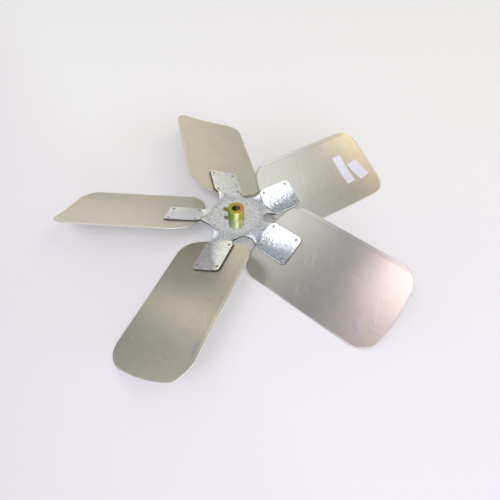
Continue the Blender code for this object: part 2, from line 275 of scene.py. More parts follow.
world = bpy.data.worlds.new("studio")
world.use_nodes = True
bpy.context.scene.world = world
tree = world.node_tree
background = tree.nodes["Background"]
ray = add_node(tree, "ShaderNodeTexCoord").outputs["Generated"]
total = None
for azimuth, elevation, wide, tall, roll, border, colour, radiance in ROOM_GLOWS.values():
    middle = direction(azimuth, elevation)
    east = Matrix.Rotation(math.radians(roll), 3, middle) @ direction(azimuth + 90, 0)
    reach = []
    for axis, size in ((east, wide), (middle.cross(east), tall)):
        part = add_node(tree, "ShaderNodeVectorMath", {0: ray, 1: axis}, operation="DOT_PRODUCT").outputs["Value"]
        part = add_node(tree, "ShaderNodeMath", {0: part, 1: math.sin(math.radians(size))}, operation="DIVIDE")
        reach.append(add_node(tree, "ShaderNodeMath", {0: part, 1: part.outputs[0]}, operation="MULTIPLY"))
    away = add_node(tree, "ShaderNodeMath", {0: reach[0], 1: reach[1]}, operation="ADD")
    away = add_node(tree, "ShaderNodeMath", {0: away, 1: border}, operation="POWER")
    away = add_node(tree, "ShaderNodeMath", {0: away, 1: -0.5}, operation="MULTIPLY")
    glow = add_node(tree, "ShaderNodeMath", {0: away}, operation="EXPONENT")
    # A glow shows on its own side of the room only, and fades where that side ends.
    ahead = add_node(tree, "ShaderNodeVectorMath", {0: ray, 1: middle}, operation="DOT_PRODUCT").outputs["Value"]
    ahead = add_node(tree, "ShaderNodeMapRange", {"Value": ahead, "From Max": GLOW_FADE})
    glow = add_node(tree, "ShaderNodeMath", {0: glow, 1: ahead}, operation="MULTIPLY")
    tint = Vector(linear(colour)[:3]) * radiance
    lit = add_node(tree, "ShaderNodeVectorMath", {0: tint, "Scale": glow}, operation="SCALE")
    total = lit if total is None else add_node(tree, "ShaderNodeVectorMath", {0: total, 1: lit}, operation="ADD")
total = add_node(tree, "ShaderNodeVectorMath", {0: total, 1: ROOM_TONE}, operation="ADD")
# Past the floor's end a plain pale backdrop is seen, while the metal still mirrors the whole room.
seen = add_node(tree, "ShaderNodeLightPath").outputs["Is Camera Ray"]
total = add_node(tree, "ShaderNodeMix", {"Factor": seen, "A": total, "B": BACKDROP}, data_type="RGBA").outputs[2]
tree.links.new(total, background.inputs["Color"])
bpy.context.scene.view_settings.view_transform = "Standard"
print("room glows:", list(ROOM_GLOWS))

# %% [markdown]
# ## The formed section
# Each arm's pad and its blade share one section: an arc of sheet that ends in a shallow lip bent back along each long
# edge. The lips stiffen the edges. The same rule places the spider's pads, the rivets and the labels.

# %% The section as a function
def section(across):
    """A point of the formed section, as (along, rise, slope)."""
    (low_start, low_bend), (high_start, high_bend) = LIPS["low"], LIPS["high"]
    arc_end = min(max(across, low_start), high_start)
    slope = (arc_end - CAMBER_CENTRE) / CAMBER_RADIUS
    along = CAMBER_RADIUS * math.sin(slope) + CAMBER_CENTRE
    rise = CAMBER_RADIUS * (math.cos(RIVET_CHORD / 2 / CAMBER_RADIUS) - math.cos(slope))
    if across > high_start:
        slope -= high_bend
    elif across < low_start:
        slope += low_bend
    past = across - arc_end
    return along + past * math.cos(slope), rise + past * math.sin(slope), slope


def formed(radial, across, drop=0.0):
    """A point of the first arm, drop metres beneath the upper face of its pad."""
    along, rise, slope = section(across)
    along += drop * math.sin(slope)
    rise -= drop * math.cos(slope)
    y = along * math.cos(PITCH) - rise * math.sin(PITCH)
    z = along * math.sin(PITCH) + rise * math.cos(PITCH)
    return Vector((radial, y, PLATE_TOP - PAD_DROP + z))


def arm_turn(index):
    """Turns a thing from the first arm onto arm number index."""
    return Matrix.Rotation(math.tau * index / BLADES, 4, "Z")


print("tilt at the low edge, middle and high edge in degrees:",
      [round(math.degrees(PITCH + section(a * MM)[2]), 1) for a in (-82, 0, 82)])

# %% [markdown]
# ## Blades
# A real blade is stamped from a flat blank with rounded corners and then pressed to its camber. The node tree works
# the same way: a grid becomes the blank, the blank gets its section, and the section is pitched and turned.

# %% Blade sizes
BLADE_SIZES = {
    "Low Edge": -83.5 * MM,
    "High Edge": 84.5 * MM,
    "Tip Radius": 355.6 * MM,
    "Tip Corner": 33 * MM,
    "Root Start": 68.3 * MM,
    "Root Radius": 175 * MM,
    "Root Skew": -6 * MM,
    "Root Corner": 26 * MM,
    "Camber Radius": CAMBER_RADIUS,
    "Camber Centre": CAMBER_CENTRE,
    "Camber Level": CAMBER_RADIUS * math.cos(RIVET_CHORD / 2 / CAMBER_RADIUS),
    "Low Lip Start": LIPS["low"][0],
    "Low Lip Bend": LIPS["low"][1],
    "High Lip Start": LIPS["high"][0],
    "High Lip Bend": LIPS["high"][1],
    "Drop": SPIDER_THICKNESS + GAP,
    "Pad Level": PLATE_TOP - PAD_DROP,
    "Pitch": PITCH,
    "Turn": 0.0,
    "Chart Start": 0.0,
    "Waviness": 0.12 * MM,
    "Wave Length": 85 * MM,
}
# The chart's zero lies off the sheet, so that every point of it is positive, and each blade's stretch starts apart.
UV_SHIFT = 0.1
CHART_STEP = 0.5
BLADE_GRID = (73, 57)
print("blank in mm:", round((BLADE_SIZES["High Edge"] - BLADE_SIZES["Low Edge"]) / MM), "by",
      round((BLADE_SIZES["Tip Radius"] - BLADE_SIZES["Root Start"]) / MM))

# %% Blade node tree
def blade_tree():
    """A node tree that makes one blade's upper face from named sizes."""
    tree = bpy.data.node_groups.new("blade_sheet", "GeometryNodeTree")
    tree.is_modifier = True
    tree.interface.new_socket("Geometry", in_out="INPUT", socket_type="NodeSocketGeometry")
    for name in BLADE_SIZES:
        tree.interface.new_socket(name, in_out="INPUT", socket_type="NodeSocketFloat")
    tree.interface.new_socket("Finish", in_out="INPUT", socket_type="NodeSocketMaterial")
    tree.interface.new_socket("Geometry", in_out="OUTPUT", socket_type="NodeSocketGeometry")
    size = add_node(tree, "NodeGroupInput").outputs
    M = "ShaderNodeMath"
    grid = add_node(tree, "GeometryNodeMeshGrid", {0: 1.0, 1: 1.0, 2: BLADE_GRID[0], 3: BLADE_GRID[1]})
    place = add_node(tree, "ShaderNodeSeparateXYZ", {0: add_node(tree, "GeometryNodeInputPosition")}).outputs
    angle = add_node(tree, M, {0: place[1], 1: math.pi}, operation="MULTIPLY")
    swing = add_node(tree, M, {0: angle}, operation="SINE")
    width = add_node(tree, M, {0: size["High Edge"], 1: size["Low Edge"]}, operation="SUBTRACT")
    half = add_node(tree, M, {0: width, 1: 0.5}, operation="MULTIPLY")
    middle = add_node(tree, M, {0: size["Low Edge"], 1: half}, operation="ADD")
    across = add_node(tree, M, {0: swing, 1: half, 2: middle}, operation="MULTIPLY_ADD")
    off = add_node(tree, M, {0: add_node(tree, M, {0: swing}, operation="ABSOLUTE"), 1: half}, operation="MULTIPLY")
    fall = {}
    for end in ("Tip", "Root"):
        corner = size[end + " Corner"]
        inner = add_node(tree, M, {0: half, 1: corner}, operation="SUBTRACT")
        past = add_node(tree, M, {0: off, 1: inner}, operation="SUBTRACT")
        into = add_node(tree, M, {0: past, 1: 0.0}, operation="MAXIMUM")
        square = add_node(tree, M, {0: corner, 1: 2.0}, operation="POWER")
        left = add_node(tree, M, {0: square, 1: add_node(tree, M, {0: into, 1: 2.0}, operation="POWER")},
                        operation="SUBTRACT")
        side = add_node(tree, M, {0: add_node(tree, M, {0: left, 1: 0.0}, operation="MAXIMUM")}, operation="SQRT")
        fall[end] = add_node(tree, M, {0: corner, 1: side}, operation="SUBTRACT")
    arc = {}
    skewed = add_node(tree, M, {0: across, 1: size["Root Skew"]}, operation="SUBTRACT")
    for end, reach in (("Tip", across), ("Root", skewed)):
        square = add_node(tree, M, {0: size[end + " Radius"], 1: 2.0}, operation="POWER")
        other = add_node(tree, M, {0: reach, 1: reach}, operation="MULTIPLY")
        arc[end] = add_node(tree, M, {0: add_node(tree, M, {0: square, 1: other}, operation="SUBTRACT")},
                            operation="SQRT")
    tip = add_node(tree, M, {0: arc["Tip"], 1: fall["Tip"]}, operation="SUBTRACT")
    bow = add_node(tree, M, {0: size["Root Radius"], 1: arc["Root"]}, operation="SUBTRACT")
    start = add_node(tree, M, {0: size["Root Start"], 1: bow}, operation="ADD")
    root = add_node(tree, M, {0: start, 1: fall["Root"]}, operation="ADD")
    radial = add_node(tree, "ShaderNodeMapRange", {0: place[0], 1: -0.5, 2: 0.5, 3: root, 4: tip})
    arc_end = add_node(tree, "ShaderNodeClamp", {0: across, 1: size["Low Lip Start"], 2: size["High Lip Start"]})
    offset = add_node(tree, M, {0: arc_end, 1: size["Camber Centre"]}, operation="SUBTRACT")
    bend = add_node(tree, M, {0: offset, 1: size["Camber Radius"]}, operation="DIVIDE")
    beyond = add_node(tree, M, {0: across, 1: arc_end}, operation="SUBTRACT")
    in_high = add_node(tree, M, {0: beyond, 1: 0.0}, operation="GREATER_THAN")
    in_low = add_node(tree, M, {0: beyond, 1: 0.0}, operation="LESS_THAN")
    less = add_node(tree, M, {0: in_high, 1: size["High Lip Bend"]}, operation="MULTIPLY")
    eased = add_node(tree, M, {0: bend, 1: less}, operation="SUBTRACT")
    slope = add_node(tree, M, {0: in_low, 1: size["Low Lip Bend"], 2: eased}, operation="MULTIPLY_ADD")
    sin_bend = add_node(tree, M, {0: bend}, operation="SINE")
    cos_bend = add_node(tree, M, {0: bend}, operation="COSINE")
    sin_slope = add_node(tree, M, {0: slope}, operation="SINE")
    cos_slope = add_node(tree, M, {0: slope}, operation="COSINE")
    along = add_node(tree, M, {0: size["Camber Radius"], 1: sin_bend, 2: size["Camber Centre"]},
                     operation="MULTIPLY_ADD")
    along = add_node(tree, M, {0: beyond, 1: cos_slope, 2: along}, operation="MULTIPLY_ADD")
    along = add_node(tree, M, {0: size["Drop"], 1: sin_slope, 2: along}, operation="MULTIPLY_ADD")
    rise = add_node(tree, M, {0: size["Camber Radius"], 1: cos_bend}, operation="MULTIPLY")
    rise = add_node(tree, M, {0: size["Camber Level"], 1: rise}, operation="SUBTRACT")
    rise = add_node(tree, M, {0: beyond, 1: sin_slope, 2: rise}, operation="MULTIPLY_ADD")
    sunk = add_node(tree, M, {0: size["Drop"], 1: cos_slope}, operation="MULTIPLY")
    rise = add_node(tree, M, {0: rise, 1: sunk}, operation="SUBTRACT")
    spot = add_node(tree, "ShaderNodeCombineXYZ", {0: across, 1: radial, 2: size["Chart Start"]})
    waves = add_node(tree, M, {0: 1.0, 1: size["Wave Length"]}, operation="DIVIDE")
    ripple = add_node(tree, "ShaderNodeTexNoise", {"Vector": spot, "Scale": waves, "Detail": 1.0})
    ripple = add_node(tree, M, {0: ripple, 1: 0.5}, operation="SUBTRACT")
    ripple = add_node(tree, M, {0: ripple, 1: 2.0}, operation="MULTIPLY")
    rise = add_node(tree, M, {0: ripple, 1: size["Waviness"], 2: rise}, operation="MULTIPLY_ADD")
    flat = add_node(tree, "ShaderNodeCombineXYZ", {0: radial, 1: along, 2: rise})
    pitched = add_node(tree, "ShaderNodeVectorRotate", {"Vector": flat, "Angle": size["Pitch"]},
                       rotation_type="X_AXIS")
    level = add_node(tree, "ShaderNodeCombineXYZ", {2: size["Pad Level"]})
    raised = add_node(tree, "ShaderNodeVectorMath", {0: pitched, 1: level}, operation="ADD")
    turned = add_node(tree, "ShaderNodeVectorRotate", {"Vector": raised, "Angle": size["Turn"]},
                      rotation_type="Z_AXIS")
    shifted = add_node(tree, M, {0: across, 1: UV_SHIFT}, operation="ADD")
    stretch = add_node(tree, M, {0: radial, 1: size["Chart Start"]}, operation="ADD")
    chart = add_node(tree, "ShaderNodeCombineXYZ", {0: shifted, 1: stretch})
    charted = add_node(tree, "GeometryNodeStoreNamedAttribute", {"Geometry": grid, "Name": "sheet", "Value": chart},
                       data_type="FLOAT2", domain="CORNER")
    shaped = add_node(tree, "GeometryNodeSetPosition", {"Geometry": charted, "Position": turned})
    real = add_node(tree, "GeometryNodeRealizeInstances", {"Geometry": shaped})
    finished = add_node(tree, "GeometryNodeSetMaterial", {"Geometry": real, "Material": size["Finish"]})
    add_node(tree, "NodeGroupOutput", {"Geometry": finished})
    return tree


sheet_tree = blade_tree()
print("nodes in the blade tree:", len(sheet_tree.nodes))

# %% [markdown]
# ## Mill-finish aluminium
# The blades are cut from rolled sheet that nobody polished afterwards. The rolls leave lines along the sheet, so a
# reflection stays sharp along the lines and is smeared wide across them: that is an anisotropic metal, whose tangent
# comes from the blade's own chart. The chart is in metres, and each blade has its own stretch of it, so that no two
# blades carry the same stains.

# %% Rolled sheet
ALUMINIUM_DARK = linear("#cecabf")
ALUMINIUM_LIGHT = linear("#d6d3c9")
ROLL_LINE = 1.8 * MM
ROLL_LINE_LENGTH = 160 * MM
STAIN = 45 * MM
MOTTLE = 8 * MM

aluminium, tree, shader = new_material("mill_finish_aluminium")
chart = add_node(tree, "ShaderNodeUVMap", uv_map="sheet")
lined = add_node(tree, "ShaderNodeVectorMath", {0: chart, 1: (1 / ROLL_LINE, 1 / ROLL_LINE_LENGTH, 1)},
                 operation="MULTIPLY")
# The real rolling lines are a tenth of a millimetre apart: these are drawn as coarse as the render can show.
lines = add_node(tree, "ShaderNodeTexNoise", {"Vector": lined, "Scale": 1.0, "Detail": 2.0})
stains = add_node(tree, "ShaderNodeTexNoise", {"Vector": chart, "Scale": 1 / STAIN, "Detail": 5.0, "Roughness": 0.6,
                                               "Distortion": 0.6})
mottle = add_node(tree, "ShaderNodeTexNoise", {"Vector": chart, "Scale": 1 / MOTTLE, "Detail": 4.0, "Roughness": 0.7})
uneven = add_node(tree, "ShaderNodeMix", {"Factor": 0.3, "A": stains, "B": lines}, data_type="FLOAT")
uneven = add_node(tree, "ShaderNodeMix", {"Factor": 0.15, "A": uneven, "B": mottle}, data_type="FLOAT")
tone = add_node(tree, "ShaderNodeMapRange", {"Value": uneven, "From Min": 0.38, "From Max": 0.62})
metal_colour = add_node(tree, "ShaderNodeMix", {"Factor": tone, "A": ALUMINIUM_DARK, "B": ALUMINIUM_LIGHT},
                        data_type="RGBA")
metal_rough = add_node(tree, "ShaderNodeMapRange", {"Value": uneven, "From Min": 0.3, "From Max": 0.7, "To Min": 0.3,
                                                    "To Max": 0.32})
across_grain = add_node(tree, "ShaderNodeTangent", direction_type="UV_MAP", uv_map="sheet")
tree.links.new(metal_rough.outputs[0], shader.inputs["Roughness"])
tree.links.new(across_grain.outputs[0], shader.inputs["Tangent"])
shader.inputs["Metallic"].default_value = 1.0
shader.inputs["Anisotropic"].default_value = 0.95
print("nodes in the rolled sheet:", len(tree.nodes))

# %% [markdown]
# ## Marks of handling
# Blades are stacked, slid and gripped before they are riveted. That leaves light scratches, bluish finger marks, a few
# dark rubs and specks of glue. They lie where the hand happened to be, so each is placed on its own blade's chart as a
# short stroke: the shader measures its distance from the stroke's middle line. Brown smudges from the stack are
# scattered by noise.

# %% Strokes on the chart
# Each kind: colour, then its strokes as blade (0 is blade_sheet_1), two ends as (radial, across) in mm, width in mm,
# and strength.
HANDLING_MARKS = {
    "scratches": ("#fffcf4", [
        (0, (176, 18), (188, -3), 1.6, 0.55), (0, (179, 24), (187, 6), 1.3, 0.4),
        (0, (168, 7), (175, -9), 2.2, 0.35), (0, (184, -46), (203, -80), 1.1, 0.5),
        (0, (186, -42), (193, -60), 1.8, 0.4), (0, (198, -38), (217, -55), 2.4, 0.28),
        (0, (207, 28), (218, 17), 1.6, 0.4), (0, (327, -38), (353, -33), 1.3, 0.4),
        (0, (233, 36), (262, 20), 1.2, 0.22), (0, (315, 9), (334, -31), 1.4, 0.25),
        (0, (250, -8), (243, -34), 1.3, 0.2), (1, (230, 38), (233, 10), 1.5, 0.35),
        (1, (233, 10), (217, -15), 1.5, 0.35), (1, (191, 48), (182, 18), 2.2, 0.25),
        (1, (182, 18), (171, -9), 2.2, 0.25), (1, (245, 19), (246, -9), 1.4, 0.28),
        (1, (266, 40), (254, 62), 1.3, 0.22), (4, (231, 51), (247, 62), 1.3, 0.4),
        (4, (247, 62), (266, 76), 1.3, 0.4), (4, (264, 64), (240, 69), 1.2, 0.35),
        (4, (318, -12), (322, 28), 1.1, 0.3), (4, (290, -60), (301, -64), 2.0, 0.35),
        (4, (306, 27), (309, 20), 1.8, 0.3), (2, (216, -30), (246, -22), 1.3, 0.25),
        (3, (196, 26), (232, 31), 1.3, 0.2),
    ]),
    "finger_marks": ("#a9a3d4", [
        (0, (299, -27), (303, -28), 8.0, 0.3), (0, (304, -45), (314, -56), 7.0, 0.3),
        (0, (254, 4), (262, -2), 10.0, 0.16), (4, (203, 30), (207, 56), 3.6, 0.38),
        (4, (207, 44), (236, 36), 2.6, 0.36), (4, (284, 72), (302, 70), 9.0, 0.42),
    ]),
    "rubs": ("#7d745c", [
        (4, (194, -43), (208, -24), 1.9, 0.3), (4, (176, 20), (180, 34), 2.2, 0.2),
        (2, (300, -20), (306, 12), 2.4, 0.2), (2, (258, -48), (262, -12), 2.6, 0.2),
        (2, (238, -40), (230, -18), 2.0, 0.18), (3, (228, 30), (236, 34), 3.0, 0.18),
        (3, (292, -8), (306, -14), 2.0, 0.2),
    ]),
    "glue_specks": ("#e6d57a", [
        (0, (181, -31), (183, -33), 1.7, 0.9), (0, (189, -36), (190, -38), 1.9, 0.9),
        (4, (188, 31), (189, 33), 1.7, 0.8),
    ]),
}
SHAKE_LENGTH = 16 * MM
SHAKE = 2.2 * MM

wander = add_node(tree, "ShaderNodeTexNoise", {"Vector": chart, "Scale": 1 / SHAKE_LENGTH, "Detail": 3.0})
wander = add_node(tree, "ShaderNodeVectorMath", {0: wander.outputs["Color"], 1: (0.5, 0.5, 0.5)}, operation="SUBTRACT")
wander = add_node(tree, "ShaderNodeVectorMath", {0: wander, "Scale": 2 * SHAKE}, operation="SCALE")
flat_chart = add_node(tree, "ShaderNodeVectorMath", {0: chart, 1: wander}, operation="ADD")
flat_chart = add_node(tree, "ShaderNodeVectorMath", {0: flat_chart, 1: (1, 1, 0)}, operation="MULTIPLY")
marked = metal_colour.outputs[2]
for kind, (colour, strokes) in HANDLING_MARKS.items():
    cover = 0.0
    for index, start, end, width, strength in strokes:
        foot, head = [Vector((UV_SHIFT + across * MM, CHART_STEP * index + radial * MM, 0))
                      for radial, across in (start, end)]
        line = (head - foot).normalized()
        out = add_node(tree, "ShaderNodeVectorMath", {0: flat_chart, 1: foot}, operation="SUBTRACT")
        on = add_node(tree, "ShaderNodeVectorMath", {0: out, 1: line}, operation="DOT_PRODUCT").outputs["Value"]
        on = add_node(tree, "ShaderNodeClamp", {0: on, 1: 0.0, 2: (head - foot).length})
        near = add_node(tree, "ShaderNodeVectorMath", {0: line, "Scale": on}, operation="SCALE")
        gap = add_node(tree, "ShaderNodeVectorMath", {0: out, 1: near}, operation="DISTANCE").outputs["Value"]
        mark = add_node(tree, "ShaderNodeMapRange", {"Value": gap, "From Max": width * MM, "To Min": strength,
                                                     "To Max": 0.0}, interpolation_type="SMOOTHSTEP")
        cover = add_node(tree, "ShaderNodeMath", {0: mark, 1: cover}, operation="MAXIMUM")
    broken = add_node(tree, "ShaderNodeMapRange", {"Value": mottle, "From Min": 0.35, "From Max": 0.6, "To Min": 0.35})
    cover = add_node(tree, "ShaderNodeMath", {0: cover, 1: broken}, operation="MULTIPLY")
    marked = add_node(tree, "ShaderNodeMix", {"Factor": cover, "A": marked, "B": linear(colour)},
                      data_type="RGBA").outputs[2]
print("strokes:", {kind: len(strokes) for kind, (colour, strokes) in HANDLING_MARKS.items()})

# %% Smudges, with a painted highlight on the lips and painted shade in their creases
SMUDGE = 11 * MM
SMUDGE_COLOUR = linear("#958c78")
CREASE_PAINTED_SHADE = linear("#8d8a83")
LIP_PAINTED_HIGHLIGHT = linear("#efece6")
LIP_FADE = 1.0 * MM
PAINTED_CREASE_SHADE_WIDTH = 1.5 * MM
PAINTED_LIP_LIGHT_STRENGTH = 0.35

patch = add_node(tree, "ShaderNodeTexNoise", {"Vector": chart, "Scale": 1 / SMUDGE, "Detail": 4.0, "Roughness": 0.62})
smudged = add_node(tree, "ShaderNodeMapRange", {"Value": patch, "From Min": 0.62, "From Max": 0.8, "To Max": 0.22})
marked = add_node(tree, "ShaderNodeMix", {"Factor": smudged, "A": marked, "B": SMUDGE_COLOUR},
                  data_type="RGBA").outputs[2]
across = add_node(tree, "ShaderNodeSeparateXYZ", {0: chart}).outputs[0]
# Each lip is painted lighter as a painted highlight, and the line where it bends is painted darker as painted shade.
for start in (LIPS["low"][0], LIPS["high"][0]):
    past = add_node(tree, "ShaderNodeMath", {0: across, 1: UV_SHIFT + start}, operation="SUBTRACT")
    past = add_node(tree, "ShaderNodeMath", {0: past, 1: math.copysign(1.0, start)}, operation="MULTIPLY")
    painted_lip_highlight = add_node(tree, "ShaderNodeMapRange", {"Value": past, "From Max": LIP_FADE, "To Max": PAINTED_LIP_LIGHT_STRENGTH})
    marked = add_node(tree, "ShaderNodeMix", {"Factor": painted_lip_highlight, "A": marked, "B": LIP_PAINTED_HIGHLIGHT},
                      data_type="RGBA").outputs[2]
    painted_crease_shade = add_node(tree, "ShaderNodeMath", {0: past}, operation="ABSOLUTE")
    painted_crease_shade = add_node(tree, "ShaderNodeMapRange", {"Value": painted_crease_shade, "From Max": PAINTED_CREASE_SHADE_WIDTH,
                                                   "To Min": PAINTED_LIP_LIGHT_STRENGTH, "To Max": 0.0})
    marked = add_node(tree, "ShaderNodeMix", {"Factor": painted_crease_shade, "A": marked, "B": CREASE_PAINTED_SHADE},
                      data_type="RGBA").outputs[2]
tree.links.new(marked, shader.inputs["Base Color"])
print("aluminium nodes:", len(tree.nodes))

# %% [markdown]
# ## Sheared edge
# The blank is sheared from the sheet, which leaves a bright cut face with fine tears across it. It scatters light more
# than the rolled face does and catches it as a thin pale line round the blade, so it has a material of its own.

# %% Sheared edge finish
SHEARED_DULL = linear("#bfbab0")
SHEARED_BRIGHT = linear("#e2ded5")
TEAR = 1.2 * MM

sheared, tree, shader = new_material("sheared_aluminium_edge")
place = add_node(tree, "ShaderNodeTexCoord").outputs["Object"]
tears = add_node(tree, "ShaderNodeTexNoise", {"Vector": place, "Scale": 1 / TEAR, "Detail": 2.0})
cut_colour = add_node(tree, "ShaderNodeMix", {"Factor": tears, "A": SHEARED_DULL, "B": SHEARED_BRIGHT},
                      data_type="RGBA")
cut_rough = add_node(tree, "ShaderNodeMapRange", {"Value": tears, "To Min": 0.4, "To Max": 0.6})
tree.links.new(cut_colour.outputs[2], shader.inputs["Base Color"])
tree.links.new(cut_rough.outputs[0], shader.inputs["Roughness"])
shader.inputs["Metallic"].default_value = 1.0
print("edge nodes:", len(tree.nodes))

# %% Blades
BLADE_EDGE_ROUND = 0.4 * MM
EDGE_ANGLE = math.radians(50)


def set_inputs(modifier, values):
    """Sets a Geometry Nodes modifier's inputs by the identifiers of their sockets."""
    for socket in modifier.node_group.interface.items_tree:
        if socket.item_type == "SOCKET" and socket.in_out == "INPUT" and socket.name in values:
            modifier[socket.identifier] = values[socket.name]


def make_blade(index, finish, edge_finish):
    """One blade: the sheet from the node tree, its thickness, and edges that the press has rounded."""
    blade = mesh_object(f"blade_sheet_{index + 1}", bmesh.new())
    forming = blade.modifiers.new("forming", "NODES")
    forming.node_group = sheet_tree
    own = {"Turn": math.tau * index / BLADES, "Chart Start": CHART_STEP * index, "Finish": finish}
    set_inputs(forming, {**BLADE_SIZES, **own})
    blade = plain_mesh(blade)
    blade.data.materials.append(edge_finish)
    thick = blade.modifiers.new("thickness", "SOLIDIFY")
    thick.thickness = BLADE_THICKNESS
    thick.offset = -1
    thick.use_even_offset = True
    thick.material_offset_rim = 1
    blade = plain_mesh(blade)
    edge = blade.modifiers.new("sheared_edge", "BEVEL")
    edge.material = 1
    edge.width = BLADE_EDGE_ROUND
    edge.segments = 2
    edge.limit_method = "ANGLE"
    edge.angle_limit = EDGE_ANGLE
    blade = plain_mesh(blade)
    smooth(blade, 40)
    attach(blade, "root")
    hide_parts(f"blade_{index + 1}")
    return blade


blades = [make_blade(index, aluminium, sheared) for index in range(BLADES)]
print("triangles in a blade:", triangles(blades[0]))

# %% [markdown]
# ## Spider
# The spider is one blank of galvanised sheet with a round notch between each two arms. The press leaves it flat round
# the hub and twists each arm to the blade's pitch, between two slanting creases. A grid of vertices that runs from
# the hub's hole out to the end of each pad follows both the outline and the creases, so it is made in mesh code.

# %% Spider sizes
SPIGOT_RADIUS = 12.5 * MM
NOTCH_RADIUS = 21.5 * MM
NOTCH_CENTRE = 76.5 * MM
PAD_END = 143 * MM
PAD_HALF_WIDTH = 31.3 * MM
PAD_FILLET = 5 * MM
PAD_CORNER = 7.5 * MM
FLAT_APEX = (63.5 * MM, 5 * MM)
FLAT_LEAST = 47.5 * MM
FLAT_SLANTS = (0.8, 0.55)
PAD_START = 68.5 * MM
PAD_SLANTS = (0.3, 0.1)
CREASE_SHARE = 0.12
SPIDER_EDGE_ROUND = 0.6 * MM
SPIDER_COLUMNS = 48
PLATE_ROWS = 14
MERGE_DISTANCE = 0.01 * MM
print("twist over", round((PAD_START - FLAT_APEX[0]) / MM, 1), "mm at the middle of an arm")

# %% Spider outline
def arc(centre, radius, first, last, steps):
    """Points along an arc in the plane, both ends among them."""
    angles = [first + (last - first) * step / steps for step in range(steps + 1)]
    return [(centre[0] + radius * math.cos(angle), centre[1] + radius * math.sin(angle)) for angle in angles]


def arm_outline():
    """An arm's side as (distance along the arm, half-width), from the notch's bottom to the pad's end."""
    half_turn = math.pi / BLADES
    notch = (NOTCH_CENTRE * math.cos(half_turn), NOTCH_CENTRE * math.sin(half_turn))
    fillet_v = PAD_HALF_WIDTH - PAD_FILLET
    fillet_u = notch[0] + math.sqrt((NOTCH_RADIUS + PAD_FILLET) ** 2 - (notch[1] - fillet_v) ** 2)
    meeting = math.atan2(fillet_v - notch[1], fillet_u - notch[0])
    corner_u = PAD_END - PAD_CORNER
    outline = arc(notch, NOTCH_RADIUS, math.pi + half_turn, meeting + math.tau, 40)
    outline += arc((fillet_u, fillet_v), PAD_FILLET, meeting + math.pi, math.pi / 2, 6)[1:]
    outline += [(fillet_u + (corner_u - fillet_u) * step / 12, PAD_HALF_WIDTH) for step in range(1, 12)]
    return outline + arc((corner_u, PAD_HALF_WIDTH - PAD_CORNER), PAD_CORNER, math.pi / 2, 0.0, 10)


def spider_point(radial, across):
    """The spider's upper face: flat round the hub, formed on the pads, twisted evenly between two soft creases."""
    apex, apex_across = FLAT_APEX
    off = across - apex_across
    start = max(apex - FLAT_SLANTS[off > 0] * abs(off), FLAT_LEAST)
    end = PAD_START + PAD_SLANTS[across > 0] * abs(across)
    share = min(max((radial - start) / (end - start), 0.0), 1.0)
    from_end = min(share, 1 - share)
    if from_end < CREASE_SHARE:
        from_end = from_end ** 2 / (2 * CREASE_SHARE)
    else:
        from_end -= CREASE_SHARE / 2
    eased = from_end / (1 - CREASE_SHARE)
    if share > 0.5:
        eased = 1 - eased
    return Vector((radial, across, PLATE_TOP)).lerp(formed(radial, across), eased)


outline = arm_outline()
print("points along an arm's side:", len(outline))

# %% Spider mesh
def sheet_faces(bm, rows):
    """Quads between rows of vertices."""
    for low, high in zip(rows, rows[1:]):
        for a, b, c, d in zip(low, low[1:], high[1:], high):
            bm.faces.new((a, d, c, b))


def finish_sheet(name, bm, thickness, edge_round, finishes):
    """Merges an open sheet, faces it up, gives it thickness downwards and rounds its edges. The last of the finishes
    goes on its cut face."""
    bmesh.ops.remove_doubles(bm, verts=bm.verts, dist=MERGE_DISTANCE)
    bmesh.ops.recalc_face_normals(bm, faces=bm.faces)
    if sum(face.normal.z * face.calc_area() for face in bm.faces) < 0:
        bmesh.ops.reverse_faces(bm, faces=bm.faces)
    piece = mesh_object(name, bm)
    for finish in finishes:
        piece.data.materials.append(finish)
    thick = piece.modifiers.new("thickness", "SOLIDIFY")
    thick.thickness = thickness
    thick.offset = -1
    thick.use_even_offset = True
    thick.material_offset_rim = len(finishes) - 1
    piece = plain_mesh(piece)
    edge = piece.modifiers.new("sheared_edge", "BEVEL")
    edge.material = 0
    edge.width = edge_round
    edge.segments = 3
    edge.limit_method = "ANGLE"
    edge.angle_limit = EDGE_ANGLE
    return plain_mesh(piece)


def make_spider(finish, edge_finish):
    """The star plate and its five formed arms as one sheet."""
    hole = SPIGOT_RADIUS + GAP / 2
    shares = [2 * column / SPIDER_COLUMNS - 1 for column in range(SPIDER_COLUMNS + 1)]
    bm = bmesh.new()
    for arm in range(BLADES):
        rows = []
        for step in range(PLATE_ROWS):
            row = []
            for share in shares:
                angle = share * math.pi / BLADES
                near = Vector((hole * math.cos(angle), hole * math.sin(angle)))
                place = near.lerp(Vector((outline[0][0], outline[0][1] * share)), step / PLATE_ROWS)
                row.append(bm.verts.new(arm_turn(arm) @ spider_point(*place)))
            rows.append(row)
        for radial, half in outline:
            rows.append([bm.verts.new(arm_turn(arm) @ spider_point(radial, half * share)) for share in shares])
        sheet_faces(bm, rows)
    spider = finish_sheet("pressed_spider", bm, SPIDER_THICKNESS, SPIDER_EDGE_ROUND, [finish, edge_finish])
    smooth(spider, 40)
    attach(spider, "root")
    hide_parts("spider")
    return spider


# %% [markdown]
# ## Galvanised sheet steel
# Molten zinc freezes on the sheet in crystals a few millimetres wide, the spangle. Each crystal lies a little askew,
# so under one light some flash and others stay grey. Voronoi cells with bent borders stand for the crystals: each
# cell has its own tone, its own roughness and a normal that leans its own way.

# %% Galvanised finish
SPANGLE = 2.9 * MM
SPANGLE_LEAN = 0.028
FEATHER = 2.5 * MM
FEATHER_PULL = 3.5 * MM
TWIST_MIDDLE = 58 * MM
TWIST_HALF = (7 * MM, 13 * MM)
ZINC_DARK = linear("#c1c7ce")
ZINC_LIGHT = linear("#e7ecf1")

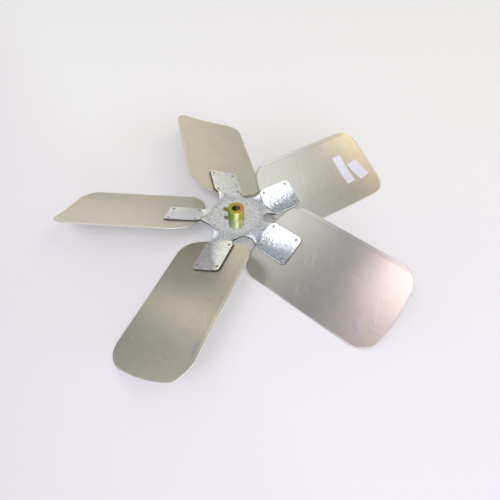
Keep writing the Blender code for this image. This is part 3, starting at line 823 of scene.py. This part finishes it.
galvanised, tree, shader = new_material("galvanised_sheet_steel")
place = add_node(tree, "ShaderNodeTexCoord").outputs["Object"]
feather = add_node(tree, "ShaderNodeTexNoise", {"Vector": place, "Scale": 1 / FEATHER, "Detail": 2.0})
pull = add_node(tree, "ShaderNodeVectorMath", {0: feather.outputs["Color"], 1: (0.5, 0.5, 0.5)}, operation="SUBTRACT")
pull = add_node(tree, "ShaderNodeVectorMath", {0: pull, "Scale": FEATHER_PULL}, operation="SCALE")
bent = add_node(tree, "ShaderNodeVectorMath", {0: place, 1: pull}, operation="ADD")
crystals = add_node(tree, "ShaderNodeTexVoronoi", {"Vector": bent, "Scale": 1 / SPANGLE}).outputs["Color"]
own = add_node(tree, "ShaderNodeSeparateXYZ", {0: crystals}).outputs
zinc_colour = add_node(tree, "ShaderNodeMix", {"Factor": own[0], "A": ZINC_DARK, "B": ZINC_LIGHT}, data_type="RGBA")
zinc_rough = add_node(tree, "ShaderNodeMapRange", {"Value": own[1], "To Min": 0.1, "To Max": 0.2})
lean = add_node(tree, "ShaderNodeVectorMath", {0: crystals, 1: (0.5, 0.5, 0.5)}, operation="SUBTRACT")
lean = add_node(tree, "ShaderNodeVectorMath", {0: lean, "Scale": SPANGLE_LEAN}, operation="SCALE")
facing = add_node(tree, "ShaderNodeNewGeometry").outputs["Normal"]
askew = add_node(tree, "ShaderNodeVectorMath", {0: facing, 1: lean}, operation="ADD")
askew = add_node(tree, "ShaderNodeVectorMath", {0: askew}, operation="NORMALIZE")
# The twist between the plate and a pad stretches the zinc until it crazes and goes dull.
level = add_node(tree, "ShaderNodeVectorMath", {0: place, 1: (1, 1, 0)}, operation="MULTIPLY")
from_axis = add_node(tree, "ShaderNodeVectorMath", {0: level}, operation="LENGTH").outputs["Value"]
from_twist = add_node(tree, "ShaderNodeMath", {0: from_axis, 1: TWIST_MIDDLE}, operation="SUBTRACT")
from_twist = add_node(tree, "ShaderNodeMath", {0: from_twist}, operation="ABSOLUTE")
crazed = add_node(tree, "ShaderNodeMapRange", {"Value": from_twist, "From Min": TWIST_HALF[0],
                                               "From Max": TWIST_HALF[1], "To Min": 0.17, "To Max": 0.0})
zinc_rough = add_node(tree, "ShaderNodeMath", {0: zinc_rough, 1: crazed}, operation="ADD")
tree.links.new(zinc_colour.outputs[2], shader.inputs["Base Color"])
tree.links.new(zinc_rough.outputs[0], shader.inputs["Roughness"])
tree.links.new(askew.outputs[0], shader.inputs["Normal"])
# Thin white oxide scatters a little light off the zinc, so it isn't a pure metal.
shader.inputs["Metallic"].default_value = 0.82
print("nodes in the galvanised finish:", len(tree.nodes))

# %% [markdown]
# ## Bare steel on the cut face
# The sheet was galvanised before it was punched, so the cut face has no zinc: it is dull dark steel with a trace of
# rust. It is painted darker still, as painted shade, so that it draws the dark line round the pads and the notches,
# which is partly the shade in the gap under each pad's edge.

# %% Cut steel finish
STEEL_DARK_AND_PAINTED_SHADE = linear("#393531")
STEEL_LIGHT = linear("#6b6459")
STEEL_TEAR = 1.5 * MM

cut_steel, tree, shader = new_material("bare_steel_cut_face_with_painted_shade")
place = add_node(tree, "ShaderNodeTexCoord").outputs["Object"]
torn = add_node(tree, "ShaderNodeTexNoise", {"Vector": place, "Scale": 1 / STEEL_TEAR, "Detail": 3.0})
# The darker end of this colour is painted shade as well as bare steel.
steel_colour = add_node(tree, "ShaderNodeMix", {"Factor": torn, "A": STEEL_DARK_AND_PAINTED_SHADE, "B": STEEL_LIGHT}, data_type="RGBA")
steel_rough = add_node(tree, "ShaderNodeMapRange", {"Value": torn, "To Min": 0.45, "To Max": 0.7})
tree.links.new(steel_colour.outputs[2], shader.inputs["Base Color"])
tree.links.new(steel_rough.outputs[0], shader.inputs["Roughness"])
shader.inputs["Metallic"].default_value = 0.8
spider = make_spider(galvanised, cut_steel)
print("triangles in the spider:", triangles(spider))

# %% [markdown]
# ## Hub and set screw
# The hub is turned from steel bar: a sleeve with a keyed bore, chamfered at both mouths. Its thin foot goes through
# the plate and is staked beneath it. A profile is turned with the Screw modifier, and Booleans cut the keyway and the
# tapped hole.

# %% Hub sizes
BORE_RADIUS = 7.94 * MM
HUB_RADIUS = 16.3 * MM
HUB_CHAMFER = 0.8 * MM
BORE_CHAMFER = 0.6 * MM
COLLAR_RADIUS = 15.5 * MM
COLLAR_DEPTH = 2.2 * MM
KEY_WIDTH = 4.8 * MM
KEY_DEPTH = 2.4 * MM
KEY_ANGLE = math.radians(113)
SCREW_RADIUS = 3.9 * MM
SCREW_OUT = 26.2 * MM
SCREW_LENGTH = 16.5 * MM
SCREW_HEIGHT = 12.3 * MM
SCREW_ANGLE = KEY_ANGLE + math.radians(90)
THREAD_PITCH = 1.41 * MM
THREAD_DEPTH = 0.55 * MM
HEX_APOTHEM = 2.0 * MM
HEX_DEPTH = 3.2 * MM
HEX_CHAMFER = 0.25 * MM
HEX_CHAMFER_DEPTH = 0.2 * MM
HEX_CONE = 0.8 * MM
CUP_DEPTH = 1.0 * MM
SCREW_SIDES = 36
RINGS_PER_TURN = 6
HUB_SIDES = 96
HOLE_SIDES = 48
HOLE_REACH = 30 * MM
KEY_CUTTER_LENGTH = 100 * MM
DEBURRED = 0.12 * MM
print("hub stands", round((HUB_TOP - PLATE_TOP) / MM, 1), "mm over the plate")

# %% Hub
def turned(name, profile, sides):
    """A closed profile of (radius, height) turned about Z, as a plain mesh that faces outwards."""
    bm = bmesh.new()
    corners = [bm.verts.new((radius, 0.0, height)) for radius, height in profile]
    for a, b in zip(corners, corners[1:] + corners[:1]):
        bm.edges.new((a, b))
    piece = mesh_object(name, bm)
    screw = piece.modifiers.new("lathe", "SCREW")
    screw.axis = "Z"
    screw.steps = sides
    screw.render_steps = sides
    screw.use_merge_vertices = True
    screw.merge_threshold = MERGE_DISTANCE
    piece = plain_mesh(piece)
    face_out(piece)
    return piece


def face_out(piece):
    """Turns every face of a closed mesh outwards."""
    bm = bmesh.new()
    bm.from_mesh(piece.data)
    bmesh.ops.recalc_face_normals(bm, faces=bm.faces)
    bm.to_mesh(piece.data)
    bm.free()


def cut_away(piece, cutters):
    """Takes the cutters out of a piece and removes them."""
    for cutter in cutters:
        step = piece.modifiers.new(cutter.name, "BOOLEAN")
        step.operation = "DIFFERENCE"
        step.solver = "EXACT"
        step.object = cutter
    piece = plain_mesh(piece)
    for cutter in cutters:
        bpy.data.objects.remove(cutter)
    return piece


def screw_frame():
    """The set screw's own frame: +Z runs out of the hub along the screw, from the shaft's axis."""
    lie_down = Matrix.Rotation(math.pi / 2, 4, "Y")
    return Matrix.Translation((0, 0, PLATE_TOP + SCREW_HEIGHT)) @ Matrix.Rotation(SCREW_ANGLE, 4, "Z") @ lie_down


def keyway_cutter():
    """A square bar along the bore."""
    bm = bmesh.new()
    reach = BORE_RADIUS + KEY_DEPTH
    shape = Matrix.Translation((reach / 2, 0, 0)) @ Matrix.Diagonal((reach, KEY_WIDTH, KEY_CUTTER_LENGTH, 1))
    bmesh.ops.create_cube(bm, size=1.0, matrix=Matrix.Rotation(KEY_ANGLE, 4, "Z") @ shape)
    return mesh_object("keyway", bm)


def tapped_hole_cutter():
    """A round bar from the shaft's axis out along the set screw."""
    bm = bmesh.new()
    radius = SCREW_RADIUS + GAP / 2
    place = screw_frame() @ Matrix.Translation((0, 0, HOLE_REACH / 2))
    bmesh.ops.create_cone(bm, cap_ends=True, segments=HOLE_SIDES, radius1=radius, radius2=radius, depth=HOLE_REACH,
                          matrix=place)
    return mesh_object("tapped_hole", bm)


def make_hub(finish):
    """The hub with its keyway and tapped hole."""
    seat = PLATE_TOP
    under = PLATE_TOP - SPIDER_THICKNESS
    foot = under - COLLAR_DEPTH - GAP
    hub = turned("turned_hub", [
        (BORE_RADIUS + BORE_CHAMFER, HUB_TOP),
        (HUB_RADIUS - HUB_CHAMFER, HUB_TOP),
        (HUB_RADIUS, HUB_TOP - HUB_CHAMFER),
        (HUB_RADIUS, seat),
        (SPIGOT_RADIUS, seat),
        (SPIGOT_RADIUS, under),
        (COLLAR_RADIUS, under),
        (COLLAR_RADIUS, foot + HUB_CHAMFER),
        (COLLAR_RADIUS - HUB_CHAMFER, foot),
        (BORE_RADIUS + BORE_CHAMFER, foot),
        (BORE_RADIUS, foot + BORE_CHAMFER),
        (BORE_RADIUS, HUB_TOP - BORE_CHAMFER),
    ], HUB_SIDES)
    hub = cut_away(hub, [keyway_cutter(), tapped_hole_cutter()])
    edge = hub.modifiers.new("deburred_edge", "BEVEL")
    edge.width = DEBURRED
    edge.segments = 2
    edge.limit_method = "ANGLE"
    edge.angle_limit = math.radians(35)
    hub = plain_mesh(hub)
    hub.data.materials.clear()
    hub.data.materials.append(finish)
    smooth(hub, 30)
    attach(hub, "root")
    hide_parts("hub")
    return hub


# %% [markdown]
# ## Yellow chromate
# The turned hub is zinc plated and then dipped in chromate, which leaves a thin yellow film. Its colour drifts with
# the film's thickness: here from green on one side through gold to orange on the other, and greener on the
# sleeve than on its top. Fine turning rings stay visible through it. A pale band down the sleeve is a painted
# highlight, a tan line at its foot is painted shade where it meets the plate, and the bore is painted brown as shade.

# %% Chromate finish
FILM_GREEN = linear("#b2c454")
FILM_GOLD = linear("#d6bb58")
FILM_ORANGE = linear("#e0a468")
SLEEVE_GREEN = linear("#8fb457")
SLEEVE_PAINTED_HIGHLIGHT = linear("#e4e8ac")
SLEEVE_OLIVE = linear("#b9bb52")
FOOT_PAINTED_SHADE = linear("#dcb878")
BORE_PAINTED_SHADE = linear("#86763a")
FILM_ACROSS = (0.762, 0.648, 0.0)
FILM_CLOUD = 9 * MM
FILM_DRIFT = 4 * MM
PAINTED_FOOT_SHADE_FADE = (0.6 * MM, 1.8 * MM)
MOUTH_FADE = (0.1 * MM, 0.5 * MM)

chromate, tree, shader = new_material("yellow_chromate_on_steel")
place = add_node(tree, "ShaderNodeTexCoord").outputs["Object"]
side = add_node(tree, "ShaderNodeVectorMath", {0: place, 1: FILM_ACROSS}, operation="DOT_PRODUCT").outputs["Value"]
cloud = add_node(tree, "ShaderNodeTexNoise", {"Vector": place, "Scale": 1 / FILM_CLOUD, "Detail": 2.0})
drift = add_node(tree, "ShaderNodeMapRange", {"Value": cloud, "To Min": -FILM_DRIFT, "To Max": FILM_DRIFT})
film = add_node(tree, "ShaderNodeMath", {0: side, 1: drift}, operation="ADD")
to_gold = add_node(tree, "ShaderNodeMapRange", {"Value": film, "From Min": -13 * MM, "From Max": 0.0})
to_orange = add_node(tree, "ShaderNodeMapRange", {"Value": film, "From Min": 2 * MM, "From Max": 12 * MM})
top_film = add_node(tree, "ShaderNodeMix", {"Factor": to_gold, "A": FILM_GREEN, "B": FILM_GOLD}, data_type="RGBA")
top_film = add_node(tree, "ShaderNodeMix", {"Factor": to_orange, "A": top_film.outputs[2], "B": FILM_ORANGE},
                    data_type="RGBA")
facing = add_node(tree, "ShaderNodeNewGeometry").outputs["Normal"]
up = add_node(tree, "ShaderNodeMath", {0: add_node(tree, "ShaderNodeSeparateXYZ", {0: facing}).outputs[2]},
              operation="ABSOLUTE")
# A pale band down one side of the sleeve is a painted highlight, between the green and the olive film.
to_painted_highlight = add_node(tree, "ShaderNodeMapRange", {"Value": side, "From Min": -4 * MM, "From Max": 1 * MM},
                   interpolation_type="SMOOTHSTEP")
to_olive = add_node(tree, "ShaderNodeMapRange", {"Value": side, "From Min": 4 * MM, "From Max": 7.5 * MM},
                    interpolation_type="SMOOTHSTEP")
sleeve_film_and_highlight = add_node(tree, "ShaderNodeMix", {"Factor": to_painted_highlight, "A": SLEEVE_GREEN, "B": SLEEVE_PAINTED_HIGHLIGHT}, data_type="RGBA")
sleeve_film_and_highlight = add_node(tree, "ShaderNodeMix", {"Factor": to_olive, "A": sleeve_film_and_highlight.outputs[2], "B": SLEEVE_OLIVE},
                  data_type="RGBA")
hub_film = add_node(tree, "ShaderNodeMix", {"Factor": up, "A": sleeve_film_and_highlight.outputs[2], "B": top_film.outputs[2]},
                    data_type="RGBA")
# A tan line at the foot of the sleeve is painted shade where the sleeve meets the plate, and the bore is painted
# brown as painted shade inside it.
spot = add_node(tree, "ShaderNodeSeparateXYZ", {0: place}).outputs
painted_foot_shade = add_node(tree, "ShaderNodeMapRange", {"Value": spot[2], "From Min": PLATE_TOP + PAINTED_FOOT_SHADE_FADE[0],
                                                "From Max": PLATE_TOP + PAINTED_FOOT_SHADE_FADE[1], "To Min": 0.85, "To Max": 0.0})
hub_film = add_node(tree, "ShaderNodeMix", {"Factor": painted_foot_shade, "A": hub_film.outputs[2], "B": FOOT_PAINTED_SHADE},
                    data_type="RGBA")
# The bore is painted brown, a painted shade in the recess.
level = add_node(tree, "ShaderNodeVectorMath", {0: place, 1: (1, 1, 0)}, operation="MULTIPLY")
from_axis = add_node(tree, "ShaderNodeVectorMath", {0: level}, operation="LENGTH").outputs["Value"]
painted_bore_shade = add_node(tree, "ShaderNodeMapRange", {"Value": from_axis, "From Min": BORE_RADIUS + MOUTH_FADE[0],
                                                "From Max": BORE_RADIUS + MOUTH_FADE[1], "To Min": 1.0, "To Max": 0.0})
hub_film = add_node(tree, "ShaderNodeMix", {"Factor": painted_bore_shade, "A": hub_film.outputs[2], "B": BORE_PAINTED_SHADE},
                    data_type="RGBA")
tree.links.new(hub_film.outputs[2], shader.inputs["Base Color"])
# The rings left by the lathe smear a reflection along the shaft's axis on the sleeve, and outwards on the top.
rings = add_node(tree, "ShaderNodeTangent", direction_type="RADIAL", axis="Z")
tree.links.new(rings.outputs[0], shader.inputs["Tangent"])
shader.inputs["Metallic"].default_value = 1.0
shader.inputs["Roughness"].default_value = 0.34
shader.inputs["Anisotropic"].default_value = 0.9
shader.inputs["Anisotropic Rotation"].default_value = 0.25
hub = make_hub(chromate)
print("triangles in the hub:", triangles(hub))

# %% [markdown]
# ## Set screw
# A socket set screw holds the hub on its shaft. A thread is a ramp wound round the screw, so the mesh is built ring by
# ring and each point's radius follows the ramp: that gives closed threads without a Boolean. The screw is plated like
# the hub, but its film has worn to a browner gold.

# %% Set screw
def make_set_screw(finish):
    """A threaded socket set screw, built ring by ring: each ring's radius follows the thread's helix."""
    inner = SCREW_OUT - SCREW_LENGTH
    bm = bmesh.new()

    def ring(height, radius_at):
        angles = [math.tau * side / SCREW_SIDES for side in range(SCREW_SIDES)]
        return [bm.verts.new((radius_at(a) * math.cos(a), radius_at(a) * math.sin(a), height)) for a in angles]

    def thread(height):
        fade = min(1.0, (SCREW_OUT - height) / THREAD_PITCH, (height - inner) / THREAD_PITCH)
        top = SCREW_RADIUS - THREAD_DEPTH * (1 - max(fade, 0.0))

        def radius(angle):
            phase = (height / THREAD_PITCH - angle / math.tau) % 1.0
            return top - THREAD_DEPTH * max(fade, 0.0) * (1 - abs(2 * phase - 1))
        return radius

    def hexagon(angle):
        sixth = math.pi / 3
        return HEX_APOTHEM / math.cos((angle + sixth / 2) % sixth - sixth / 2)

    steps = round(SCREW_LENGTH / THREAD_PITCH * RINGS_PER_TURN)
    rings = [ring(inner + SCREW_LENGTH * step / steps, thread(inner + SCREW_LENGTH * step / steps))
             for step in range(steps + 1)]
    rings.append(ring(SCREW_OUT, lambda angle: hexagon(angle) + HEX_CHAMFER))
    rings.append(ring(SCREW_OUT - HEX_CHAMFER_DEPTH, hexagon))
    rings.append(ring(SCREW_OUT - HEX_DEPTH, hexagon))
    for low, high in zip(rings, rings[1:]):
        for side in range(SCREW_SIDES):
            after = (side + 1) % SCREW_SIDES
            bm.faces.new((low[side], low[after], high[after], high[side]))
    for last, depth in ((rings[-1], SCREW_OUT - HEX_DEPTH - HEX_CONE), (rings[0], inner + CUP_DEPTH)):
        middle = bm.verts.new((0, 0, depth))
        for side in range(SCREW_SIDES):
            bm.faces.new((last[side], last[(side + 1) % SCREW_SIDES], middle))
    bmesh.ops.recalc_face_normals(bm, faces=bm.faces)
    bm.transform(screw_frame())
    screw = mesh_object("socket_set_screw", bm)
    screw.data.materials.append(finish)
    smooth(screw, 35)
    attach(screw, "root")
    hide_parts("set_screw")
    return screw


SCREW_BROWN = linear("#7d6a40")
SCREW_GOLD = linear("#b39c62")
SCREW_BLOTCH = 2 * MM

screw_steel, tree, shader = new_material("chromated_screw_steel")
place = add_node(tree, "ShaderNodeTexCoord").outputs["Object"]
blotch = add_node(tree, "ShaderNodeTexNoise", {"Vector": place, "Scale": 1 / SCREW_BLOTCH, "Detail": 3.0})
screw_colour = add_node(tree, "ShaderNodeMix", {"Factor": blotch, "A": SCREW_BROWN, "B": SCREW_GOLD}, data_type="RGBA")
screw_rough = add_node(tree, "ShaderNodeMapRange", {"Value": blotch, "To Min": 0.22, "To Max": 0.4})
tree.links.new(screw_colour.outputs[2], shader.inputs["Base Color"])
tree.links.new(screw_rough.outputs[0], shader.inputs["Roughness"])
shader.inputs["Metallic"].default_value = 1.0
set_screw = make_set_screw(screw_steel)
print("triangles in the set screw:", triangles(set_screw))

# %% [markdown]
# ## Rivets
# Four rivets hold each blade. A rivet has a shallow domed head with a dimple that the punch leaves, a shank, and a
# second head beneath. Twenty equal pieces on a curved face are a job for Geometry Nodes: one rivet is shaped from a
# cylinder, four stand on the first pad, and the pad is repeated round the hub.

# %% Rivet sizes
RIVET_SIZES = {
    "Head Radius": 3.0 * MM,
    "Head Rise": 1.3 * MM,
    "Head Edge": 0.35 * MM,
    "Shank Radius": 2.2 * MM,
    "Grip": SPIDER_THICKNESS + GAP + BLADE_THICKNESS,
    "Dimple Depth": 0.45 * MM,
    "Dimple Radius": 1.1 * MM,
    "Spacing": 53.8 * MM,
    "Chord": RIVET_CHORD,
    "Middle Radius": 106.7 * MM,
    "Camber Radius": CAMBER_RADIUS,
    "Camber Centre": CAMBER_CENTRE,
    "Pad Level": PLATE_TOP - PAD_DROP,
    "Pitch": PITCH,
}
print("rivet grip in mm:", round(RIVET_SIZES["Grip"] / MM, 2))

# %% Rivet node tree
def rivet_tree():
    """A node tree that makes all the rivets from named sizes."""
    tree = bpy.data.node_groups.new("rivets_on_pads", "GeometryNodeTree")
    tree.is_modifier = True
    tree.interface.new_socket("Geometry", in_out="INPUT", socket_type="NodeSocketGeometry")
    for name in RIVET_SIZES:
        tree.interface.new_socket(name, in_out="INPUT", socket_type="NodeSocketFloat")
    tree.interface.new_socket("Finish", in_out="INPUT", socket_type="NodeSocketMaterial")
    tree.interface.new_socket("Geometry", in_out="OUTPUT", socket_type="NodeSocketGeometry")
    size = add_node(tree, "NodeGroupInput").outputs
    M = "ShaderNodeMath"
    # A bar of radius 1 with rings at heights 0 to 5: rings 2 and 3 become the shank, and the rest the two heads.
    bar = add_node(tree, "GeometryNodeMeshCylinder", {"Vertices": 24, "Side Segments": 5, "Fill Segments": 6,
                                                      "Radius": 1.0, "Depth": 5.0}, fill_type="TRIANGLE_FAN")
    place = add_node(tree, "ShaderNodeSeparateXYZ", {0: add_node(tree, "GeometryNodeInputPosition")}).outputs
    ring = add_node(tree, M, {0: place[2], 1: 2.5}, operation="ADD")
    squares = add_node(tree, M, {0: place[0], 1: 2.0}, operation="POWER")
    squares = add_node(tree, M, {0: place[1], 1: place[1], 2: squares}, operation="MULTIPLY_ADD")
    out = add_node(tree, M, {0: squares}, operation="SQRT")
    from_middle = add_node(tree, M, {0: place[2]}, operation="ABSOLUTE")
    in_shank = add_node(tree, M, {0: from_middle, 1: 1.0}, operation="LESS_THAN")
    thinner = add_node(tree, M, {0: size["Shank Radius"], 1: size["Head Radius"]}, operation="SUBTRACT")
    radius = add_node(tree, M, {0: in_shank, 1: thinner, 2: size["Head Radius"]}, operation="MULTIPLY_ADD")
    upper = add_node(tree, "ShaderNodeMapRange", {0: ring, 1: 2.0, 2: 3.0, 3: -1.0, 4: 0.0})
    body = add_node(tree, M, {0: upper, 1: size["Grip"]}, operation="MULTIPLY")
    top_edge = add_node(tree, "ShaderNodeMapRange", {0: ring, 1: 4.0, 2: 5.0, 3: 0.0, 4: 1.0})
    low_edge = add_node(tree, "ShaderNodeMapRange", {0: ring, 1: 0.0, 2: 1.0, 3: -1.0, 4: 0.0})
    edges = add_node(tree, M, {0: top_edge, 1: low_edge}, operation="ADD")
    body = add_node(tree, M, {0: edges, 1: size["Head Edge"], 2: body}, operation="MULTIPLY_ADD")
    crown = add_node(tree, M, {0: 1.0, 1: squares}, operation="SUBTRACT")
    crown = add_node(tree, M, {0: crown, 1: 0.0}, operation="MAXIMUM")
    crown = add_node(tree, M, {0: crown}, operation="SQRT")
    doming = add_node(tree, M, {0: size["Head Rise"], 1: size["Head Edge"]}, operation="SUBTRACT")
    crown = add_node(tree, M, {0: crown, 1: doming}, operation="MULTIPLY")
    from_centre = add_node(tree, M, {0: out, 1: size["Head Radius"]}, operation="MULTIPLY")
    dimple = add_node(tree, "ShaderNodeMapRange", {0: from_centre, 1: 0.0, 2: size["Dimple Radius"],
                                                   3: size["Dimple Depth"], 4: 0.0}, interpolation_type="SMOOTHSTEP")
    crown = add_node(tree, M, {0: crown, 1: dimple}, operation="SUBTRACT")
    crown = add_node(tree, M, {0: crown, 1: edges}, operation="MULTIPLY")
    height = add_node(tree, M, {0: body, 1: crown}, operation="ADD")
    x, y = [add_node(tree, M, {0: place[axis], 1: radius}, operation="MULTIPLY") for axis in (0, 1)]
    around = add_node(tree, "ShaderNodeCombineXYZ", {0: x, 1: y, 2: height})
    rivet = add_node(tree, "GeometryNodeSetPosition", {"Geometry": bar, "Position": around})
    pad = add_node(tree, "GeometryNodeMeshGrid", {0: size["Spacing"], 1: size["Chord"], 2: 2, 3: 2})
    spot = add_node(tree, "ShaderNodeSeparateXYZ", {0: add_node(tree, "GeometryNodeInputPosition")}).outputs
    offset = add_node(tree, M, {0: spot[1], 1: size["Camber Centre"]}, operation="SUBTRACT")
    bend = add_node(tree, M, {0: offset, 1: size["Camber Radius"]}, operation="DIVIDE")
    half = add_node(tree, M, {0: size["Chord"], 1: 0.5}, operation="MULTIPLY")
    level = add_node(tree, M, {0: add_node(tree, M, {0: half, 1: size["Camber Radius"]}, operation="DIVIDE")},
                     operation="COSINE")
    dip = add_node(tree, M, {0: level, 1: add_node(tree, M, {0: bend}, operation="COSINE")}, operation="SUBTRACT")
    rise = add_node(tree, M, {0: dip, 1: size["Camber Radius"]}, operation="MULTIPLY")
    along = add_node(tree, M, {0: add_node(tree, M, {0: bend}, operation="SINE"), 1: size["Camber Radius"],
                               2: size["Camber Centre"]}, operation="MULTIPLY_ADD")
    radial = add_node(tree, M, {0: spot[0], 1: size["Middle Radius"]}, operation="ADD")
    flat = add_node(tree, "ShaderNodeCombineXYZ", {0: radial, 1: along, 2: rise})
    pitched = add_node(tree, "ShaderNodeVectorRotate", {"Vector": flat, "Angle": size["Pitch"]},
                       rotation_type="X_AXIS")
    lift = add_node(tree, "ShaderNodeCombineXYZ", {2: size["Pad Level"]})
    raised = add_node(tree, "ShaderNodeVectorMath", {0: pitched, 1: lift}, operation="ADD")
    tilt = add_node(tree, M, {0: bend, 1: size["Pitch"]}, operation="ADD")
    tilt_held = add_node(tree, "GeometryNodeStoreNamedAttribute", {"Geometry": pad, "Name": "tilt", "Value": tilt},
                         data_type="FLOAT", domain="POINT")
    spots = add_node(tree, "GeometryNodeSetPosition", {"Geometry": tilt_held, "Position": raised})
    tilt_read = add_node(tree, "GeometryNodeInputNamedAttribute", {"Name": "tilt"}, data_type="FLOAT")
    lean = add_node(tree, "ShaderNodeCombineXYZ", {0: tilt_read.outputs["Attribute"]})
    four = add_node(tree, "GeometryNodeInstanceOnPoints", {"Points": spots, "Instance": rivet, "Rotation": lean})
    arms = add_node(tree, "GeometryNodePoints", {"Count": BLADES})
    number = add_node(tree, M, {0: add_node(tree, "GeometryNodeInputIndex"), 1: math.tau / BLADES},
                      operation="MULTIPLY")
    turn = add_node(tree, "ShaderNodeCombineXYZ", {2: number})
    twenty = add_node(tree, "GeometryNodeInstanceOnPoints", {"Points": arms, "Instance": four, "Rotation": turn})
    real = add_node(tree, "GeometryNodeRealizeInstances", {"Geometry": twenty})
    finished = add_node(tree, "GeometryNodeSetMaterial", {"Geometry": real, "Material": size["Finish"]})
    add_node(tree, "NodeGroupOutput", {"Geometry": finished})
    return tree


def make_rivets(finish):
    """All twenty rivets as one mesh."""
    rivets = mesh_object("domed_rivets", bmesh.new())
    setting = rivets.modifiers.new("setting", "NODES")
    setting.node_group = rivet_tree()
    set_inputs(setting, {**RIVET_SIZES, "Finish": finish})
    rivets = plain_mesh(rivets)
    smooth(rivets, 50)
    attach(rivets, "root")
    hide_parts(*[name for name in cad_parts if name.startswith("rivet_")])
    return rivets


# %% [markdown]
# ## Rivet finish
# The rivets are plain steel, tumbled dull before they were set. The setting tool leaves small dents on the heads, so
# one noise gives their tone, their roughness and a slight bump.

# %% Rivet finish
RIVET_DULL = linear("#918f83")
RIVET_BRIGHT = linear("#c8c6ba")
RIVET_DENT = 1.1 * MM

rivet_metal, tree, shader = new_material("tumbled_rivet_steel")
place = add_node(tree, "ShaderNodeTexCoord").outputs["Object"]
peened = add_node(tree, "ShaderNodeTexNoise", {"Vector": place, "Scale": 1 / RIVET_DENT, "Detail": 2.0})
rivet_colour = add_node(tree, "ShaderNodeMix", {"Factor": peened, "A": RIVET_DULL, "B": RIVET_BRIGHT},
                        data_type="RGBA")
rivet_rough = add_node(tree, "ShaderNodeMapRange", {"Value": peened, "To Min": 0.3, "To Max": 0.5})
rivet_peened = add_node(tree, "ShaderNodeBump", {"Height": peened, "Strength": 0.4, "Distance": 0.1 * MM})
tree.links.new(rivet_colour.outputs[2], shader.inputs["Base Color"])
tree.links.new(rivet_rough.outputs[0], shader.inputs["Roughness"])
tree.links.new(rivet_peened.outputs[0], shader.inputs["Normal"])
shader.inputs["Metallic"].default_value = 1.0
rivets = make_rivets(rivet_metal)
print("triangles in the rivets:", triangles(rivets))

# %% [markdown]
# ## Labels
# Two paper labels are stuck near the tip of one blade. They follow its camber, so each is a small grid on the blade's
# own surface.

# %% Label sheets
LABELS = {
    "narrow_label": ((273, 35), (295, 35), (295, -34), (272, -35)),
    "wide_label": ((299, 7), (327, 12), (338, -32), (309, -37)),
}
LABEL_THICKNESS = 0.12 * MM
LABEL_CLEARANCE = 0.01 * MM
LABEL_EDGE_ROUND = 0.03 * MM
LABEL_STEPS = 16
LABEL_ARM = 1


def make_label(name, corners, finish):
    """A label between four corners, each given in mm as (radial, across) on its blade."""
    a, b, c, d = [Vector(corner) * MM for corner in corners]
    rows = []
    bm = bmesh.new()
    lift = SPIDER_THICKNESS + GAP - LABEL_THICKNESS - LABEL_CLEARANCE
    for row in range(LABEL_STEPS + 1):
        left = a.lerp(d, row / LABEL_STEPS)
        right = b.lerp(c, row / LABEL_STEPS)
        places = [left.lerp(right, column / LABEL_STEPS) for column in range(LABEL_STEPS + 1)]
        rows.append([bm.verts.new(arm_turn(LABEL_ARM) @ formed(*place, lift)) for place in places])
    sheet_faces(bm, rows)
    label = finish_sheet(name, bm, LABEL_THICKNESS, LABEL_EDGE_ROUND, [finish])
    smooth(label, 40)
    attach(label, "root")
    return label


# %% [markdown]
# ## Label paper
# The labels are coated paper. It scatters most of the light and keeps a faint sheen, which tells it from the metal
# round it. The labels are left blank, with no print.

# %% Label paper
PAPER_COOL = linear("#ced1dd")
PAPER_WARM = linear("#dddbe1")
CRINKLE = 6 * MM

label_paper, tree, shader = new_material("coated_label_paper")
place = add_node(tree, "ShaderNodeTexCoord").outputs["Object"]
# Thermal paper yellows and creases unevenly. Its fibres are far too fine to show, so only the creasing is drawn.
crinkle = add_node(tree, "ShaderNodeTexNoise", {"Vector": place, "Scale": 1 / CRINKLE, "Detail": 4.0})
paper_colour = add_node(tree, "ShaderNodeMix", {"Factor": crinkle, "A": PAPER_COOL, "B": PAPER_WARM},
                        data_type="RGBA")
crinkled = add_node(tree, "ShaderNodeBump", {"Height": crinkle, "Strength": 0.25, "Distance": 0.1 * MM})
paper_rough = add_node(tree, "ShaderNodeMapRange", {"Value": crinkle, "To Min": 0.38, "To Max": 0.55})
tree.links.new(paper_colour.outputs[2], shader.inputs["Base Color"])
tree.links.new(paper_rough.outputs[0], shader.inputs["Roughness"])
tree.links.new(crinkled.outputs[0], shader.inputs["Normal"])
labels = [make_label(name, corners, label_paper) for name, corners in LABELS.items()]
print("labels:", [label.name for label in labels])
